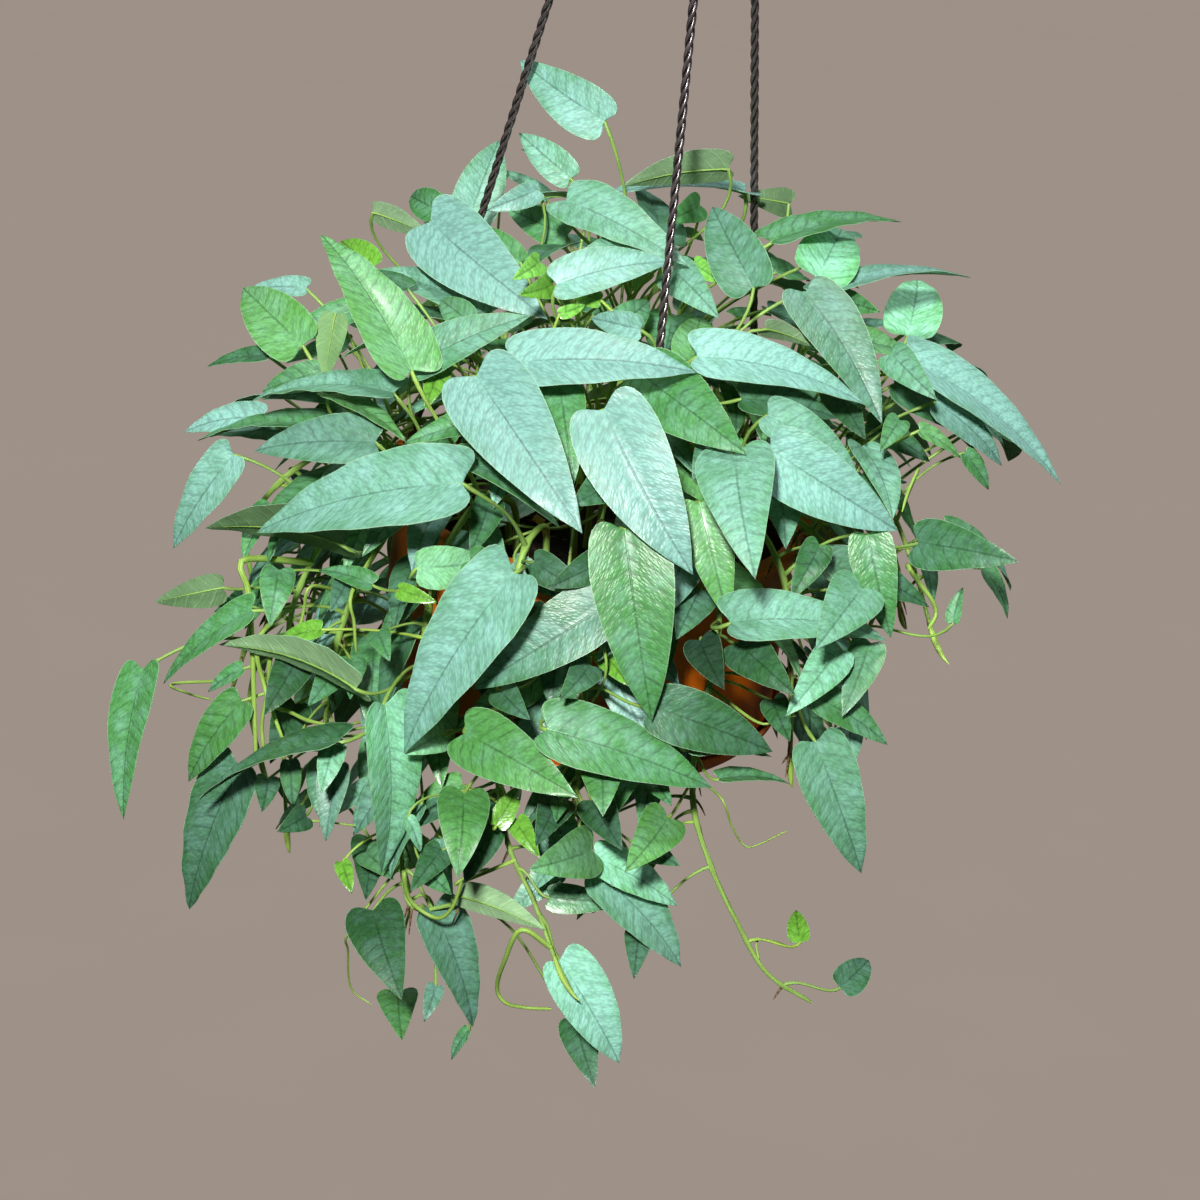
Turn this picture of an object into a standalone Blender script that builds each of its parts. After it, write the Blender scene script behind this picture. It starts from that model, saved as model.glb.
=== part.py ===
"""A hanging pot of blue-leaved pothos: pot, saucer, potting mix, three hanger strands, a hook and the plant.

Frame: metres, +Z up. The origin is where the hook's crook bears on whatever it hangs from, the pot's axis is
the Z axis, and -Y is the side that the photograph shows. Heights of the plant are given above the pot's rim.
"""

import math
import random

import bmesh
import bpy
import numpy as np
from mathutils import Vector
from mathutils.bvhtree import BVHTree

# Hanger and pot, in metres
HANG = 0.557  # from the bearing point down to the pot's rim
RIM_RADIUS = 0.1115
RIM_THICKNESS = 0.0032
WALL_TOP_RADIUS = 0.1040
WALL_FOOT_RADIUS = 0.1040
WALL = 0.0022
POT_HEIGHT = 0.1145
SAUCER_RADIUS = 0.1100
SAUCER_HEIGHT = 0.014
SAUCER_WALL = 0.0020
SOIL_BELOW_RIM = 0.020
SOIL_BUMP = 0.0025
STRAND_RADIUS = 0.0022
STRAND_CIRCLE = 0.1085
STRAND_AZIMUTHS = (43.0, 163.0, 283.0)
LUG_RADIUS = 0.0062
BEAD_RADIUS = 0.0030
BEAD_LENGTH = 0.009
COLLAR_RADIUS = 0.0195
COLLAR_TOP = -0.046
COLLAR_BOTTOM = -0.066
CROOK_RADIUS = 0.0150
CROOK_WIRE = 0.0028
GAP = 0.0003

RIM_Z = -HANG
SOIL_Z = RIM_Z - SOIL_BELOW_RIM
FOOT_Z = RIM_Z - POT_HEIGHT
SAUCER_Z = FOOT_Z - GAP - SAUCER_WALL

# Stems and leaves
STEM_RADIUS = 0.0020
STALK_RADIUS = 0.0011
BLADE_THICKNESS = 0.0008
GUARD = 0.0007  # how much fatter a leaf is taken when its room is tested
ROOT_DEPTH = 0.016
ROOTS_A_PIECE = 5
CROWDING = 0.0012  # how much farther a stem seems for each leaf that it has
SLIMMEST = 0.42  # a blade's width over its length
LEAVES_IN_ALL = 188
FRONT_TRIES = 130
APRON_TRIES = 110
ROUND_TRIES = 900

# How the photograph was taken: a square frame 1200 pixels wide, looking down on the pot
FRAME_CENTRE = 600.0
RIM_CENTRE_PX = (600.0, 493.0)
PX_PER_METRE = 1931.0
VIEW_DISTANCE = 1.6
VIEW_ELEVATION = math.radians(25.0)
VIEW_ROLL = math.radians(7.91)

# The outer face of the foliage: its radius at each height, seen from above a little wider than deep
FOLIAGE_HEIGHTS = (-0.32, -0.24, -0.17, -0.10, -0.04, 0.0, 0.05, 0.09, 0.13, 0.155, 0.165)
FOLIAGE_RADII = (0.145, 0.170, 0.205, 0.213, 0.215, 0.210, 0.190, 0.160, 0.110, 0.060, 0.020)
FOLIAGE_DEPTH = 1.12


def view_axes():
    """The photograph's axes: toward the viewer, to its right and up."""
    back = Vector((0.0, -math.cos(VIEW_ELEVATION), math.sin(VIEW_ELEVATION)))
    level = Vector((1.0, 0.0, 0.0))
    rise = back.cross(level)
    right = level * math.cos(VIEW_ROLL) + rise * math.sin(VIEW_ROLL)
    up = rise * math.cos(VIEW_ROLL) - level * math.sin(VIEW_ROLL)
    return back, right, up


BACK, RIGHT, UP = view_axes()
FOCAL_PX = PX_PER_METRE * VIEW_DISTANCE
EYE = Vector((0.0, 0.0, RIM_Z)) - VIEW_DISTANCE * (
    -BACK
    + RIGHT * (RIM_CENTRE_PX[0] - FRAME_CENTRE) / FOCAL_PX
    - UP * (RIM_CENTRE_PX[1] - FRAME_CENTRE) / FOCAL_PX
)


def seen_at(px, py, near):
    """The point that shows at a pixel, with its nearness to the viewer measured from the rim's centre."""
    ray = RIGHT * (px - FRAME_CENTRE) / FOCAL_PX - UP * (py - FRAME_CENTRE) / FOCAL_PX - BACK
    return EYE + ray * (VIEW_DISTANCE - near)


def pixel_of(point):
    """Where a point shows in the photograph."""
    offset = point - EYE
    depth = -offset.dot(BACK)
    return (
        FRAME_CENTRE + FOCAL_PX * offset.dot(RIGHT) / depth,
        FRAME_CENTRE - FOCAL_PX * offset.dot(UP) / depth,
    )


def foliage_radius(height):
    """The foliage's outer radius at a height above the rim."""
    return float(np.interp(height, FOLIAGE_HEIGHTS, FOLIAGE_RADII))


def foliage_nearness(px, py):
    """How near the foliage's outer face is at a pixel, or where the line of sight passes closest to it."""
    closest = None
    for step in range(90):
        near = 0.26 - step * 0.005
        point = seen_at(px, py, near)
        spare = math.hypot(point.x, FOLIAGE_DEPTH * point.y) - foliage_radius(point.z - RIM_Z)
        if spare <= 0.0:
            return near
        if closest is None or spare < closest[0]:
            closest = (spare, near)
    return closest[1]


def around(radius, azimuth, height):
    """A point at a radius, an azimuth in degrees and a height above the rim."""
    angle = math.radians(azimuth)
    return Vector((radius * math.cos(angle), radius * math.sin(angle), RIM_Z + height))


def smooth_path(knots, count):
    """Evenly spaced points on a smooth curve through the knots."""
    ends = [knots[0] * 2 - knots[1]] + list(knots) + [knots[-1] * 2 - knots[-2]]
    fine = []
    for i in range(1, len(ends) - 2):
        a, b, c, d = ends[i - 1], ends[i], ends[i + 1], ends[i + 2]
        for k in range(12):
            t = k / 12
            fine.append(
                0.5 * (2 * b + (c - a) * t + (2 * a - 5 * b + 4 * c - d) * t * t
                       + (3 * b - a - 3 * c + d) * t * t * t)
            )
    fine.append(knots[-1].copy())
    run = [0.0]
    for p, q in zip(fine, fine[1:]):
        run.append(run[-1] + (q - p).length)
    points = []
    for k in range(count):
        want = run[-1] * k / (count - 1)
        i = min(max(int(np.searchsorted(run, want)) - 1, 0), len(fine) - 2)
        t = (want - run[i]) / max(run[i + 1] - run[i], 1e-9)
        points.append(fine[i].lerp(fine[i + 1], min(max(t, 0.0), 1.0)))
    return points


# Trailing vines: azimuth in degrees, radius at the soil, height over the rim, radius where it hangs, height
# of the end, and the drift of the azimuth on the way down
TRAILS = {
    "trail_front": (-105.0, 0.082, 0.020, 0.138, -0.060, 0.0),
    "trail_front_left": (-122.0, 0.070, 0.026, 0.142, -0.070, 0.0),
    "trail_left_apron": (-138.0, 0.086, 0.022, 0.150, -0.150, -6.0),
    "trail_left_low": (-152.0, 0.074, 0.030, 0.158, -0.185, -4.0),
    "trail_left_tangle": (-166.0, 0.086, 0.024, 0.166, -0.165, -4.0),
    "trail_left": (-179.0, 0.072, 0.030, 0.178, -0.150, 2.0),
    "trail_left_back": (149.0, 0.084, 0.024, 0.165, -0.120, 4.0),
    "trail_front_right": (-88.0, 0.070, 0.026, 0.136, -0.120, 2.0),
    "runner_right": (-60.0, 0.086, 0.020, 0.134, -0.045, 0.0),
    "trail_right_front": (-44.0, 0.072, 0.028, 0.144, -0.085, 3.0),
    "trail_right_low": (-25.0, 0.084, 0.022, 0.152, -0.095, 2.0),
    "trail_right": (-7.0, 0.070, 0.028, 0.148, -0.012, 0.0),
    "trail_right_back": (12.0, 0.084, 0.026, 0.168, -0.060, 3.0),
    "trail_back_right": (62.0, 0.078, 0.026, 0.160, -0.130, 3.0),
    "trail_back": (84.0, 0.084, 0.022, 0.156, -0.190, -3.0),
    "trail_back_left": (106.0, 0.074, 0.028, 0.160, -0.145, 4.0),
    "trail_far_left": (127.0, 0.086, 0.022, 0.162, -0.170, -3.0),
}
# Where a trailing vine goes on past its hanging part, as the photograph shows it: x, y and nearness
TRAIL_ENDS = {
    "trail_front": (
        (500, 800, 0.084), (510, 850, 0.080), (528, 885, 0.078), (548, 945, 0.076), (556, 962, 0.076),
    ),
    "trail_front_left": (
        (404, 800, 0.062), (402, 877, 0.058), (412, 906, 0.060), (442, 921, 0.064), (462, 903, 0.066),
    ),
    "runner_right": (
        (697, 735, 0.080), (692, 791, 0.076), (703, 848, 0.072), (723, 889, 0.068), (745, 939, 0.062),
        (776, 985, 0.056), (800, 1002, 0.052), (812, 1003, 0.050),
    ),
    "trail_right": (
        (886, 512, 0.030), (906, 540, 0.030), (912, 565, 0.032), (930, 588, 0.034), (937, 604, 0.034),
        (930, 626, 0.032),
    ),
}
# Upright stems: how many, and for each in turn its radius at the soil, its reach and the height of its end
UPRIGHTS = 9
UPRIGHT_FIRST_AZIMUTH = 20.0
UPRIGHT_SHAPES = ((0.050, 0.112, 0.052), (0.036, 0.070, 0.088), (0.056, 0.104, 0.066))
CENTRE_STEMS = {"upright_centre": (80.0, 0.012, 0.026, 0.105), "upright_front": (-98.0, 0.024, 0.046, 0.080)}


def stem_route(azimuth, soil_radius, knots, end=()):
    """A stem's points: straight up out of its hole, then on through its knots."""
    foot = around(soil_radius, azimuth, -SOIL_BELOW_RIM - ROOT_DEPTH)
    top = around(soil_radius, azimuth, -SOIL_BELOW_RIM + 0.006)
    route = [top] + [around(*knot) for knot in knots] + [seen_at(*place) for place in end]
    length = sum((q - p).length for p, q in zip(route, route[1:]))
    return [foot] + smooth_path(route, max(6, round(length / 0.029)))


def all_stems():
    """Every vine's stem, by name."""
    stems = {}
    for name, (azimuth, soil_radius, over, hang, low, drift) in TRAILS.items():
        knots = [
            (soil_radius + 0.006, azimuth, over * 0.45),
            (0.5 * (RIM_RADIUS + soil_radius) + 0.004, azimuth, over),
            (RIM_RADIUS + 0.016, azimuth, over * 0.55),
            (hang, azimuth + 0.3 * drift, -0.035),
        ]
        if low < -0.05:
            steps = max(1, round((-0.035 - low) / 0.05))
            for k in range(1, steps + 1):
                t = k / steps
                sway = 0.006 * math.sin(2.1 * k + azimuth)
                knots.append((hang + sway, azimuth + drift * (0.3 + 0.7 * t), -0.035 + (low + 0.035) * t))
        stems[name] = stem_route(azimuth, soil_radius, knots, TRAIL_ENDS.get(name, ()))
    for k in range(UPRIGHTS):
        azimuth = UPRIGHT_FIRST_AZIMUTH + k * 360.0 / UPRIGHTS
        soil_radius, reach, height = UPRIGHT_SHAPES[k % len(UPRIGHT_SHAPES)]
        knots = [
            (soil_radius + 0.2 * (reach - soil_radius), azimuth, 0.3 * height),
            (soil_radius + 0.55 * (reach - soil_radius), azimuth + 3.0, 0.72 * height),
            (reach, azimuth + 5.0, height),
        ]
        stems["upright_" + str(k + 1)] = stem_route(azimuth, soil_radius, knots)
    for name, (azimuth, soil_radius, reach, height) in CENTRE_STEMS.items():
        halfway = (soil_radius + 0.4 * (reach - soil_radius), azimuth, 0.5 * height)
        knots = [halfway, (reach, azimuth + 8.0, height)]
        stems[name] = stem_route(azimuth, soil_radius, knots)
    return stems


# Leaves that the photograph shows, those in front first: x and y of the blade's foot, x and y of its tip, the
# width it shows, the face it shows, and how much nearer than the foliage's face it starts, in millimetres
TOP = 1
UNDER = -1
LEAVES_SEEN = {
    "brow": (515, 362, 698, 372, 60, TOP, 6),
    "heart_left": (476, 376, 582, 533, 95, TOP, 4),
    "heart_right": (603, 410, 693, 575, 92, TOP, 6),
    "wing_right": (698, 356, 866, 404, 52, TOP, 4),
    "bib": (625, 530, 652, 721, 88, TOP, 0),
    "sleeve_left": (514, 573, 403, 754, 85, TOP, 4),
    "wing_left": (462, 483, 257, 533, 78, TOP, 4),
    "lap": (547, 729, 712, 788, 68, TOP, 0),
    "shawl": (731, 622, 888, 640, 52, TOP, 0),
    "pendant": (560, 960, 620, 1064, 58, TOP, -20),
    "flag_left": (412, 370, 321, 233, 68, TOP, 0),
    "cuff_left": (414, 366, 532, 315, 45, TOP, 2),
    "brow_left": (430, 222, 547, 319, 80, TOP, 0),
    "brow_back": (566, 200, 689, 266, 55, TOP, -2),
    "brow_mid": (557, 284, 672, 262, 45, TOP, 2),
    "shoulder_right": (805, 292, 882, 424, 62, TOP, 4),
    "ear_right": (753, 287, 712, 206, 60, TOP, 2),
    "bowl_right": (735, 454, 755, 578, 85, TOP, 0),
    "sweep_right": (770, 450, 898, 531, 75, TOP, -2),
    "behind_brow": (640, 375, 746, 454, 75, TOP, -6),
    "sweep_upper": (768, 415, 860, 478, 45, TOP, -8),
    "apron": (607, 605, 472, 690, 68, TOP, -4),
    "hip_right": (816, 742, 862, 874, 66, TOP, -6),
    "skirt_mid": (465, 733, 578, 798, 68, TOP, -6),
    "skirt_left": (385, 705, 382, 875, 55, TOP, -4),
    "skirt_right": (655, 708, 773, 752, 62, TOP, -6),
    "gloss_left": (418, 568, 487, 562, 45, TOP, -8),
    "behind_sleeve": (537, 674, 457, 729, 45, TOP, -8),
    "side_pale": (838, 650, 786, 716, 45, TOP, -6),
    "side_lower": (870, 643, 842, 717, 40, TOP, -8),
    "side_corner": (812, 695, 888, 745, 35, TOP, -8),
    "side_back": (868, 535, 891, 638, 50, TOP, -8),
    "side_dark": (738, 643, 795, 695, 50, TOP, -14),
    "side_fold": (862, 588, 815, 650, 60, TOP, -12),
    "collar_dark": (700, 503, 728, 620, 55, TOP, -12),
    "collar_mid": (560, 385, 574, 485, 50, TOP, -12),
    "collar_left": (456, 455, 560, 528, 30, TOP, -14),
    "hem_long": (597, 872, 681, 967, 55, TOP, -22),
    "hem_pale": (596, 857, 678, 906, 40, TOP, -20),
    "hem_left": (592, 850, 528, 870, 55, TOP, -20),
    "hem_gloss": (668, 818, 625, 872, 50, TOP, -16),
    "hem_small": (464, 793, 458, 878, 54, TOP, -10),
    "hem_back": (600, 755, 603, 817, 45, TOP, -20),
    "hem_back_right": (637, 772, 610, 830, 18, TOP, -20),
    "tail_dark": (575, 1020, 595, 1088, 40, TOP, -34),
    "tail_left": (433, 908, 473, 1027, 54, TOP, -26),
    "tail_far_left": (373, 910, 402, 1000, 62, TOP, -26),
    "tail_young": (398, 993, 402, 1040, 44, TOP, -34),
    "tail_pale": (460, 895, 545, 930, 30, UNDER, -20),
    "tail_thin": (550, 898, 620, 905, 32, TOP, -26),
    "tail_shade": (640, 930, 634, 979, 32, TOP, -30),
    "tail_nub": (468, 1030, 451, 1060, 12, TOP, -34),
    "foot_left": (423, 865, 452, 895, 28, TOP, -24),
    "foot_gloss": (440, 735, 405, 755, 34, TOP, -10),
    "foot_small": (497, 825, 522, 783, 25, TOP, -12),
    "foot_right": (516, 821, 540, 858, 25, TOP, -14),
    "crest": (604, 121, 520, 60, 56, TOP, -4),
    "crest_low": (570, 178, 519, 133, 35, TOP, 0),
    "crest_left": (468, 222, 499, 140, 50, TOP, -2),
    "crest_nub": (437, 210, 411, 196, 36, TOP, -4),
    "crest_olive": (374, 212, 427, 234, 24, UNDER, 0),
    "crest_dark": (728, 168, 622, 186, 34, UNDER, -4),
    "crest_band": (745, 192, 604, 196, 20, TOP, 0),
    "crest_right": (790, 204, 738, 196, 32, UNDER, 0),
    "plume_right": (772, 241, 902, 222, 20, TOP, -6),
    "heart_light": (818, 277, 842, 229, 68, TOP, 8),
    "spear_right": (823, 293, 971, 277, 14, TOP, -6),
    "heart_far": (908, 335, 917, 279, 60, TOP, 6),
    "edge_right": (891, 354, 937, 400, 38, TOP, -4),
    "spear_long": (913, 361, 1061, 486, 38, TOP, 0),
    "spear_short": (937, 402, 1003, 466, 35, TOP, -4),
    "spear_bright": (920, 430, 961, 458, 16, TOP, -4),
    "spear_low": (965, 453, 989, 490, 18, TOP, -6),
    "arm_right": (918, 543, 1019, 562, 56, TOP, 0),
    "arm_tip": (984, 568, 1008, 619, 16, TOP, 0),
    "arm_nub": (953, 622, 963, 587, 16, TOP, 0),
    "mound_right": (672, 270, 719, 318, 45, TOP, -8),
    "mound_dark": (640, 330, 590, 318, 30, TOP, -12),
    "mound_yellow": (553, 285, 518, 295, 28, TOP, -12),
    "mound_strand": (690, 360, 700, 318, 50, TOP, -14),
    "mound_olive": (765, 328, 815, 347, 22, UNDER, -10),
    "mound_folded": (335, 315, 325, 380, 32, UNDER, -4),
    "mound_left": (302, 345, 243, 288, 62, TOP, -2),
    "mound_left_back": (306, 288, 245, 291, 22, TOP, -6),
    "left_dark": (268, 355, 207, 367, 16, TOP, -2),
    "left_narrow": (393, 392, 250, 400, 24, TOP, -6),
    "left_bright": (330, 394, 406, 442, 22, TOP, -2),
    "left_yellow": (441, 365, 425, 410, 26, TOP, -12),
    "left_broad": (375, 442, 254, 451, 52, TOP, -4),
    "left_edge": (324, 426, 197, 441, 16, TOP, -4),
    "left_blue": (262, 417, 184, 432, 30, TOP, -2),
    "left_curved": (233, 455, 173, 549, 44, TOP, 0),
    "left_under": (345, 545, 205, 528, 40, UNDER, -10),
    "left_olive": (222, 588, 155, 602, 36, UNDER, 0),
    "left_fin": (251, 610, 163, 684, 28, TOP, 0),
    "left_outer": (143, 669, 124, 820, 44, TOP, 0),
    "left_young": (241, 701, 188, 782, 42, TOP, -2),
    "left_flag": (238, 765, 188, 910, 62, TOP, -2),
    "left_spear": (338, 741, 194, 803, 16, TOP, 2),
    "left_small": (338, 735, 302, 750, 30, TOP, -6),
    "left_pale": (357, 688, 219, 644, 34, UNDER, 0),
    "left_inner": (399, 590, 438, 603, 20, TOP, -10),
    "soil_leaf": (515, 562, 560, 598, 25, TOP, -20),
    "runner_young": (800, 941, 796, 910, 24, TOP, -4),
    "runner_end": (841, 987, 869, 960, 36, TOP, 119),
    "runner_edge": (720, 778, 790, 784, 14, TOP, -30),
}
# The plant's outline in the photograph without the leaves that stand off it, the places where the pot and the
# soil show between the leaves, and those where one sees right through
OUTLINE = (
    (519, 133), (573, 140), (572, 182), (612, 188), (660, 170), (735, 153), (740, 187), (797, 190),
    (790, 212), (862, 236), (858, 272), (905, 280), (941, 290), (940, 340), (985, 375), (1035, 460),
    (985, 488), (955, 462), (905, 512), (960, 515), (1018, 562), (1008, 618), (988, 578), (945, 572),
    (965, 590), (950, 625), (905, 605), (893, 640), (866, 652), (864, 712), (888, 745), (858, 752),
    (862, 872), (822, 830), (785, 755), (700, 785), (664, 800), (668, 860), (681, 905), (672, 925),
    (681, 967), (634, 980), (622, 925), (540, 928), (480, 905), (430, 908), (345, 895), (352, 862),
    (300, 834), (272, 838), (250, 765), (246, 706), (240, 665), (222, 642), (238, 600), (215, 578),
    (245, 565), (207, 528), (258, 506), (262, 455), (195, 441), (183, 428), (225, 403), (262, 398),
    (275, 375), (208, 364), (268, 350), (242, 300), (305, 278), (313, 312), (342, 318), (322, 234),
    (375, 238), (405, 230), (372, 210), (412, 182), (455, 178), (498, 142), (510, 178),
)
POT_SHOWS = ((684, 612, 706, 700), (700, 672, 785, 770), (738, 560, 800, 600), (540, 508, 612, 570))
SEEN_THROUGH = (
    (258, 700, 296, 758), (340, 738, 360, 770), (476, 762, 496, 796), (484, 835, 512, 888),
    (775, 236, 802, 262), (720, 292, 736, 308), (806, 530, 828, 548), (776, 744, 800, 768),
)

# Blade outline: where the midrib's and the edges' points lie along the blade, and its width there
LONG_BLADE = ((0.03, -0.05, 0.56), (0.24, 0.22, 1.0), (0.54, 0.54, 0.84), (0.82, 0.82, 0.40))
SHORT_BLADE = ((0.04, -0.05, 0.58), (0.30, 0.28, 1.0), (0.70, 0.70, 0.64))
TINY_BLADE = ((0.05, -0.05, 0.62), (0.42, 0.40, 0.98))
LONG_FROM = 0.084
SHORT_FROM = 0.047
LONG_STALK = 0.050
ARCH = 0.07
CUP = 0.16


def outline_of(leaf):
    """The longer a blade is, the more points its outline has."""
    length = (leaf["tip"] - leaf["base"]).length
    if length > LONG_FROM:
        return LONG_BLADE
    return SHORT_BLADE if length > SHORT_FROM else TINY_BLADE


def blade_points(leaf, outline, thickness):
    """A blade's rows, each with its left, middle and right point on the upper face and then on the lower."""
    base, tip, normal, side, width = leaf["base"], leaf["tip"], leaf["normal"], leaf["side"], leaf["width"]
    run = tip - base
    length = run.length
    half_thickness = normal * (thickness / 2)
    rows = []
    for middle, edge, share in outline:
        half = share * width / 2
        ridge = base + run * middle + normal * (ARCH * length * 4 * middle * (1 - middle))
        lift = normal * (ARCH * length * 4 * max(edge, 0.0) * (1 - edge) + CUP * half)
        left = base + run * edge + lift - side * half
        right = base + run * edge + lift + side * half
        upper = [left + half_thickness, ridge + half_thickness, right + half_thickness]
        rows.append(upper + [p - 2 * half_thickness for p in upper])
    return rows, [tip + half_thickness, tip - half_thickness]


def stalk_rings(leaf, radius):
    """A leaf stalk's three-sided rings, from inside the stem to the blade's foot."""
    root, base, normal, side = leaf["root"], leaf["base"], leaf["normal"], leaf["side"]
    along = (leaf["tip"] - base).normalized()
    chord = base - root
    reach = 0.36 * chord.length
    bow = leaf["bow"]
    leave = (chord.normalized() * 0.7 + Vector((0.0, 0.0, 0.5 * bow))).normalized()
    arrive = (along * 0.5 + chord.normalized() * 0.5 + Vector((0.0, 0.0, 0.35 * bow))).normalized()
    a, b, c, d = root, root + leave * reach, base - arrive * reach, base
    turned = (arrive + along).normalized()
    rise = (normal - turned * normal.dot(turned)).normalized()
    rings = []
    for t in (1.0, 0.70, 0.36, 0.0) if chord.length > LONG_STALK else (1.0, 0.55, 0.0):
        s = 1.0 - t
        point = a * s ** 3 + b * (3 * s * s * t) + c * (3 * s * t * t) + d * t ** 3
        if t < 1.0:
            ahead = ((b - a) * (s * s) + (c - b) * (2 * s * t) + (d - c) * (t * t)).normalized()
            rise = (rise - ahead * rise.dot(ahead)).normalized()
            across = ahead.cross(rise)
        else:
            across = side
        rings.insert(0, [
            point - across * (0.87 * radius) + rise * (0.5 * radius),
            point + across * (0.87 * radius) + rise * (0.5 * radius),
            point - rise * radius,
        ])
    return rings


def leaf_shape(leaf):
    """One leaf as a closed loft: its three-sided stalk opens out into the six-sided sections of its blade."""
    rings = stalk_rings(leaf, STALK_RADIUS)
    rows, ends = blade_points(leaf, outline_of(leaf), BLADE_THICKNESS)
    points = [p for ring in rings for p in ring] + [p for row in rows for p in row] + ends
    faces = [(0, 2, 1)]
    for k in range(len(rings) - 1):
        for i in range(3):
            a, b = 3 * k + i, 3 * k + (i + 1) % 3
            faces += [(a, b, b + 3), (a, b + 3, a + 3)]
    last = 3 * len(rings)
    a, b, c = last - 3, last - 2, last - 1
    left, middle, right, left_low, middle_low, right_low = range(last, last + 6)
    faces += [(a, b, middle), (a, middle, left), (b, right, middle), (b, c, right_low), (b, right_low, right)]
    faces += [(c, a, left), (c, left, left_low), (c, middle_low, right_low), (c, left_low, middle_low)]
    for k in range(len(rows) - 1):
        o = last + 6 * k
        for i in (0, 1):
            faces += [(o + i, o + i + 1, o + i + 7), (o + i, o + i + 7, o + i + 6)]
            faces += [(o + i + 3, o + i + 10, o + i + 4), (o + i + 3, o + i + 9, o + i + 10)]
        faces += [(o + 2, o + 5, o + 11), (o + 2, o + 11, o + 8), (o, o + 9, o + 3), (o, o + 6, o + 9)]
    o = last + 6 * (len(rows) - 1)
    high, low = len(points) - 2, len(points) - 1
    faces += [(o, o + 1, high), (o + 1, o + 2, high), (o + 3, low, o + 4), (o + 4, low, o + 5)]
    faces += [(o + 2, o + 5, low), (o + 2, low, high), (o, low, o + 3), (o, high, low)]
    return points, faces


class Thicket:
    """What already grows or stands there, and whether a new leaf has room among it."""

    def __init__(self):
        self.things = []
        self.taken = set()

    def add(self, owner, kind, points, faces):
        low = [min(p[i] for p in points) for i in range(3)]
        high = [max(p[i] for p in points) for i in range(3)]
        self.things.append((owner, kind, low, high, BVHTree.FromPolygons(points, faces)))

    def room_for(self, owner, kind, points, faces):
        low = [min(p[i] for p in points) for i in range(3)]
        high = [max(p[i] for p in points) for i in range(3)]
        tree = None
        for other, what, other_low, other_high, other_tree in self.things:
            if other == owner and kind == "stalk" and what == "stem":
                continue
            if any(low[i] > other_high[i] or high[i] < other_low[i] for i in range(3)):
                continue
            if tree is None:
                tree = BVHTree.FromPolygons(points, faces)
            if tree.overlap(other_tree):
                return False
        return True


def guard_blade(leaf):
    """The blade, a little fatter."""
    rows, ends = blade_points(leaf, outline_of(leaf), BLADE_THICKNESS + 2 * GUARD)
    points = [p for row in rows for p in row] + ends
    faces = [(0, 1, 4, 3), (1, 2, 5, 4)]
    for k in range(len(rows) - 1):
        for i, j in ((0, 1), (1, 2), (2, 5), (5, 4), (4, 3), (3, 0)):
            faces.append((6 * k + i, 6 * k + j, 6 * k + j + 6, 6 * k + i + 6))
    o = 6 * (len(rows) - 1)
    high, low = len(points) - 2, len(points) - 1
    faces += [(o, o + 1, high), (o + 1, o + 2, high), (o + 4, o + 3, low), (o + 5, o + 4, low)]
    faces += [(o + 2, o + 5, low, high), (o + 3, o, high, low)]
    return points, faces


def guard_stalk(leaf):
    """The stalk, a little fatter."""
    rings = stalk_rings(leaf, STALK_RADIUS + GUARD)
    points = [p for ring in rings for p in ring]
    faces = []
    for k in range(len(rings) - 1):
        for i in range(3):
            a, b = 3 * k + i, 3 * k + (i + 1) % 3
            faces.append((a, b, b + 3, a + 3))
    return points, faces


def guard_tube(route, radii):
    """A four-sided tube round a route."""
    points = []
    for k, point in enumerate(route):
        ahead = (route[min(k + 1, len(route) - 1)] - route[max(k - 1, 0)]).normalized()
        across = ahead.cross(Vector((0.31, 0.95, 0.05))).normalized()
        other = ahead.cross(across)
        points += [point + across * radii[k], point + other * radii[k]]
        points += [point - across * radii[k], point - other * radii[k]]
    faces = []
    for k in range(len(route) - 1):
        for i in range(4):
            a, b = 4 * k + i, 4 * k + (i + 1) % 4
            faces.append((a, b, b + 4, a + 4))
    return points, faces


def guard_turned(profile, steps=36):
    """A turned surface round the pot's axis from radii and heights."""
    points = []
    for k in range(steps):
        angle = 2 * math.pi * k / steps
        points += [Vector((r * math.cos(angle), r * math.sin(angle), z)) for r, z in profile]
    faces = []
    count = len(profile)
    for k in range(steps):
        for i in range(count - 1):
            a, b = count * k + i, count * ((k + 1) % steps) + i
            faces.append((a, b, b + 1, a + 1))
    return points, faces


def inward(point):
    """Level, toward the pot's axis."""
    flat = Vector((-point.x, -point.y, 0.0))
    return flat.normalized() if flat.length > 1e-6 else Vector((0.0, 0.0, 0.0))


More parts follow.
